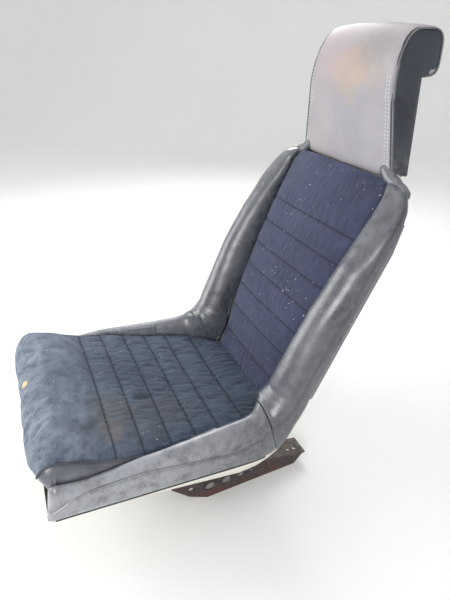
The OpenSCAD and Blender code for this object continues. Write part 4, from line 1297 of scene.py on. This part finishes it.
paint_on(pieces_named("nose_side"), vinyl("nose_vinyl", (0.026, 0.030, 0.042), (0.072, 0.078, 0.098),
                                           (0.170, 0.178, 0.198), roughness=(0.26, 0.42), wear_and_top_light=0.6))
# The seat's third colour is the dust and painted sheen over its front.
paint_on([seat_cushion], cord_cloth("seat_cord", (0.017, 0.025, 0.042), (0.042, 0.059, 0.087),
                                    (0.225, 0.262, 0.310), 0.25, 0.47, 0.07, SEAT_SPOTS))
paint_on([back_cushion], cord_cloth("back_cord", (0.016, 0.019, 0.041), (0.040, 0.045, 0.086),
                                    (0.095, 0.100, 0.136), 0.9, 1.2, 0.20))
paint_on([head_front], headrest_vinyl())
paint_on(pieces_named("headrest_seam"),
         vinyl("seam_vinyl", (0.06, 0.06, 0.07), (0.12, 0.12, 0.13), (0.2, 0.2, 0.21)))
paint_on(head_sides, headrest_side_vinyl())
paint_on(pieces_named("piping"), piping_cloth())
paint_on([bolster_stitches, panel_stitches],
         thread("dark_thread", (0.030, 0.030, 0.036), (0.075, 0.076, 0.085)))
paint_on([head_stitches], thread("pale_thread", (0.52, 0.52, 0.50), (0.74, 0.73, 0.70)))
paint_on([head_rear] + pieces_named("back_panel"),
         plain_vinyl("rear_vinyl", (0.022, 0.023, 0.028), (0.045, 0.047, 0.055)))
paint_on(pieces_named("shell"), shell_moulding())
paint_on(pieces_named("edge_trim"), rubber())
paint_on(pieces_named("bracket_left", "bracket_right"), bracket_steel())
paint_on(pieces_named("load_plate", "bracket_bolts", "bracket_washers", "bracket_nuts",
                      "listing_wires", "hog_rings"),
         plated_steel())


# --- a pale studio floor that turns up into its wall, and soft lights
FLOOR_RADIUS, WALL_CURVE, WALL_TOP = 2.6, 2.0, 4.5


def add_floor():
    turn = np.linspace(0, math.pi / 2, 16)
    reach = np.concatenate([[0.01, 1.3], FLOOR_RADIUS + WALL_CURVE * np.sin(turn),
                            [FLOOR_RADIUS + WALL_CURVE]])
    height = np.concatenate([[0, 0], WALL_CURVE * (1 - np.cos(turn)), [WALL_TOP]]) - 0.0006
    a = np.linspace(0, 2 * math.pi, 96, endpoint=False)[None, :]
    grid = np.stack([reach[:, None] * np.cos(a), reach[:, None] * np.sin(a), height[:, None] + 0 * a], -1)
    m, k = grid.shape[:2]
    faces = grid_faces(m, k, closed=True, flip=True) + [tuple(range(k))]
    floor = make_mesh("floor", grid.reshape(-1, 3), faces)
    f = Finish("floor")
    cloud = f.noise(f.place, 1.5, 4)
    paint_on([floor], f.finish(f.mix(cloud, (0.78, 0.78, 0.765), (0.82, 0.82, 0.81)), 0.6))


def add_light(name, where, aim, size, power, colour=(1, 1, 1)):
    lamp = bpy.data.lights.new(name, "AREA")
    lamp.energy, lamp.size, lamp.color = power, size, colour
    holder = bpy.data.objects.new(name, lamp)
    scene.collection.objects.link(holder)
    holder.location = where
    holder.rotation_euler = (Vector(aim) - holder.location).to_track_quat("-Z", "Y").to_euler()


def add_sky(colour, strength):
    world = bpy.data.worlds.new("sky")
    world.use_nodes = True
    back = world.node_tree.nodes["Background"]
    back.inputs["Color"].default_value = (*colour, 1)
    back.inputs["Strength"].default_value = strength
    scene.world = world


add_floor()
add_sky((0.97, 0.98, 1.0), 0.82)
add_light("overhead", (-0.3, 0.1, 2.6), (0, 0, 0.4), 1.4, 6)
add_light("far_side", (-1.5, 0.8, 1.6), (0, 0, 0.35), 1.0, 28)
add_light("window", (-1.2, -1.8, 0.95), (0, 0, 0.35), 1.8, 44)
add_light("near_side", (1.8, -1.5, 1.1), (0, 0, 0.30), 1.0, 30)
scene.view_settings.view_transform = "Standard"
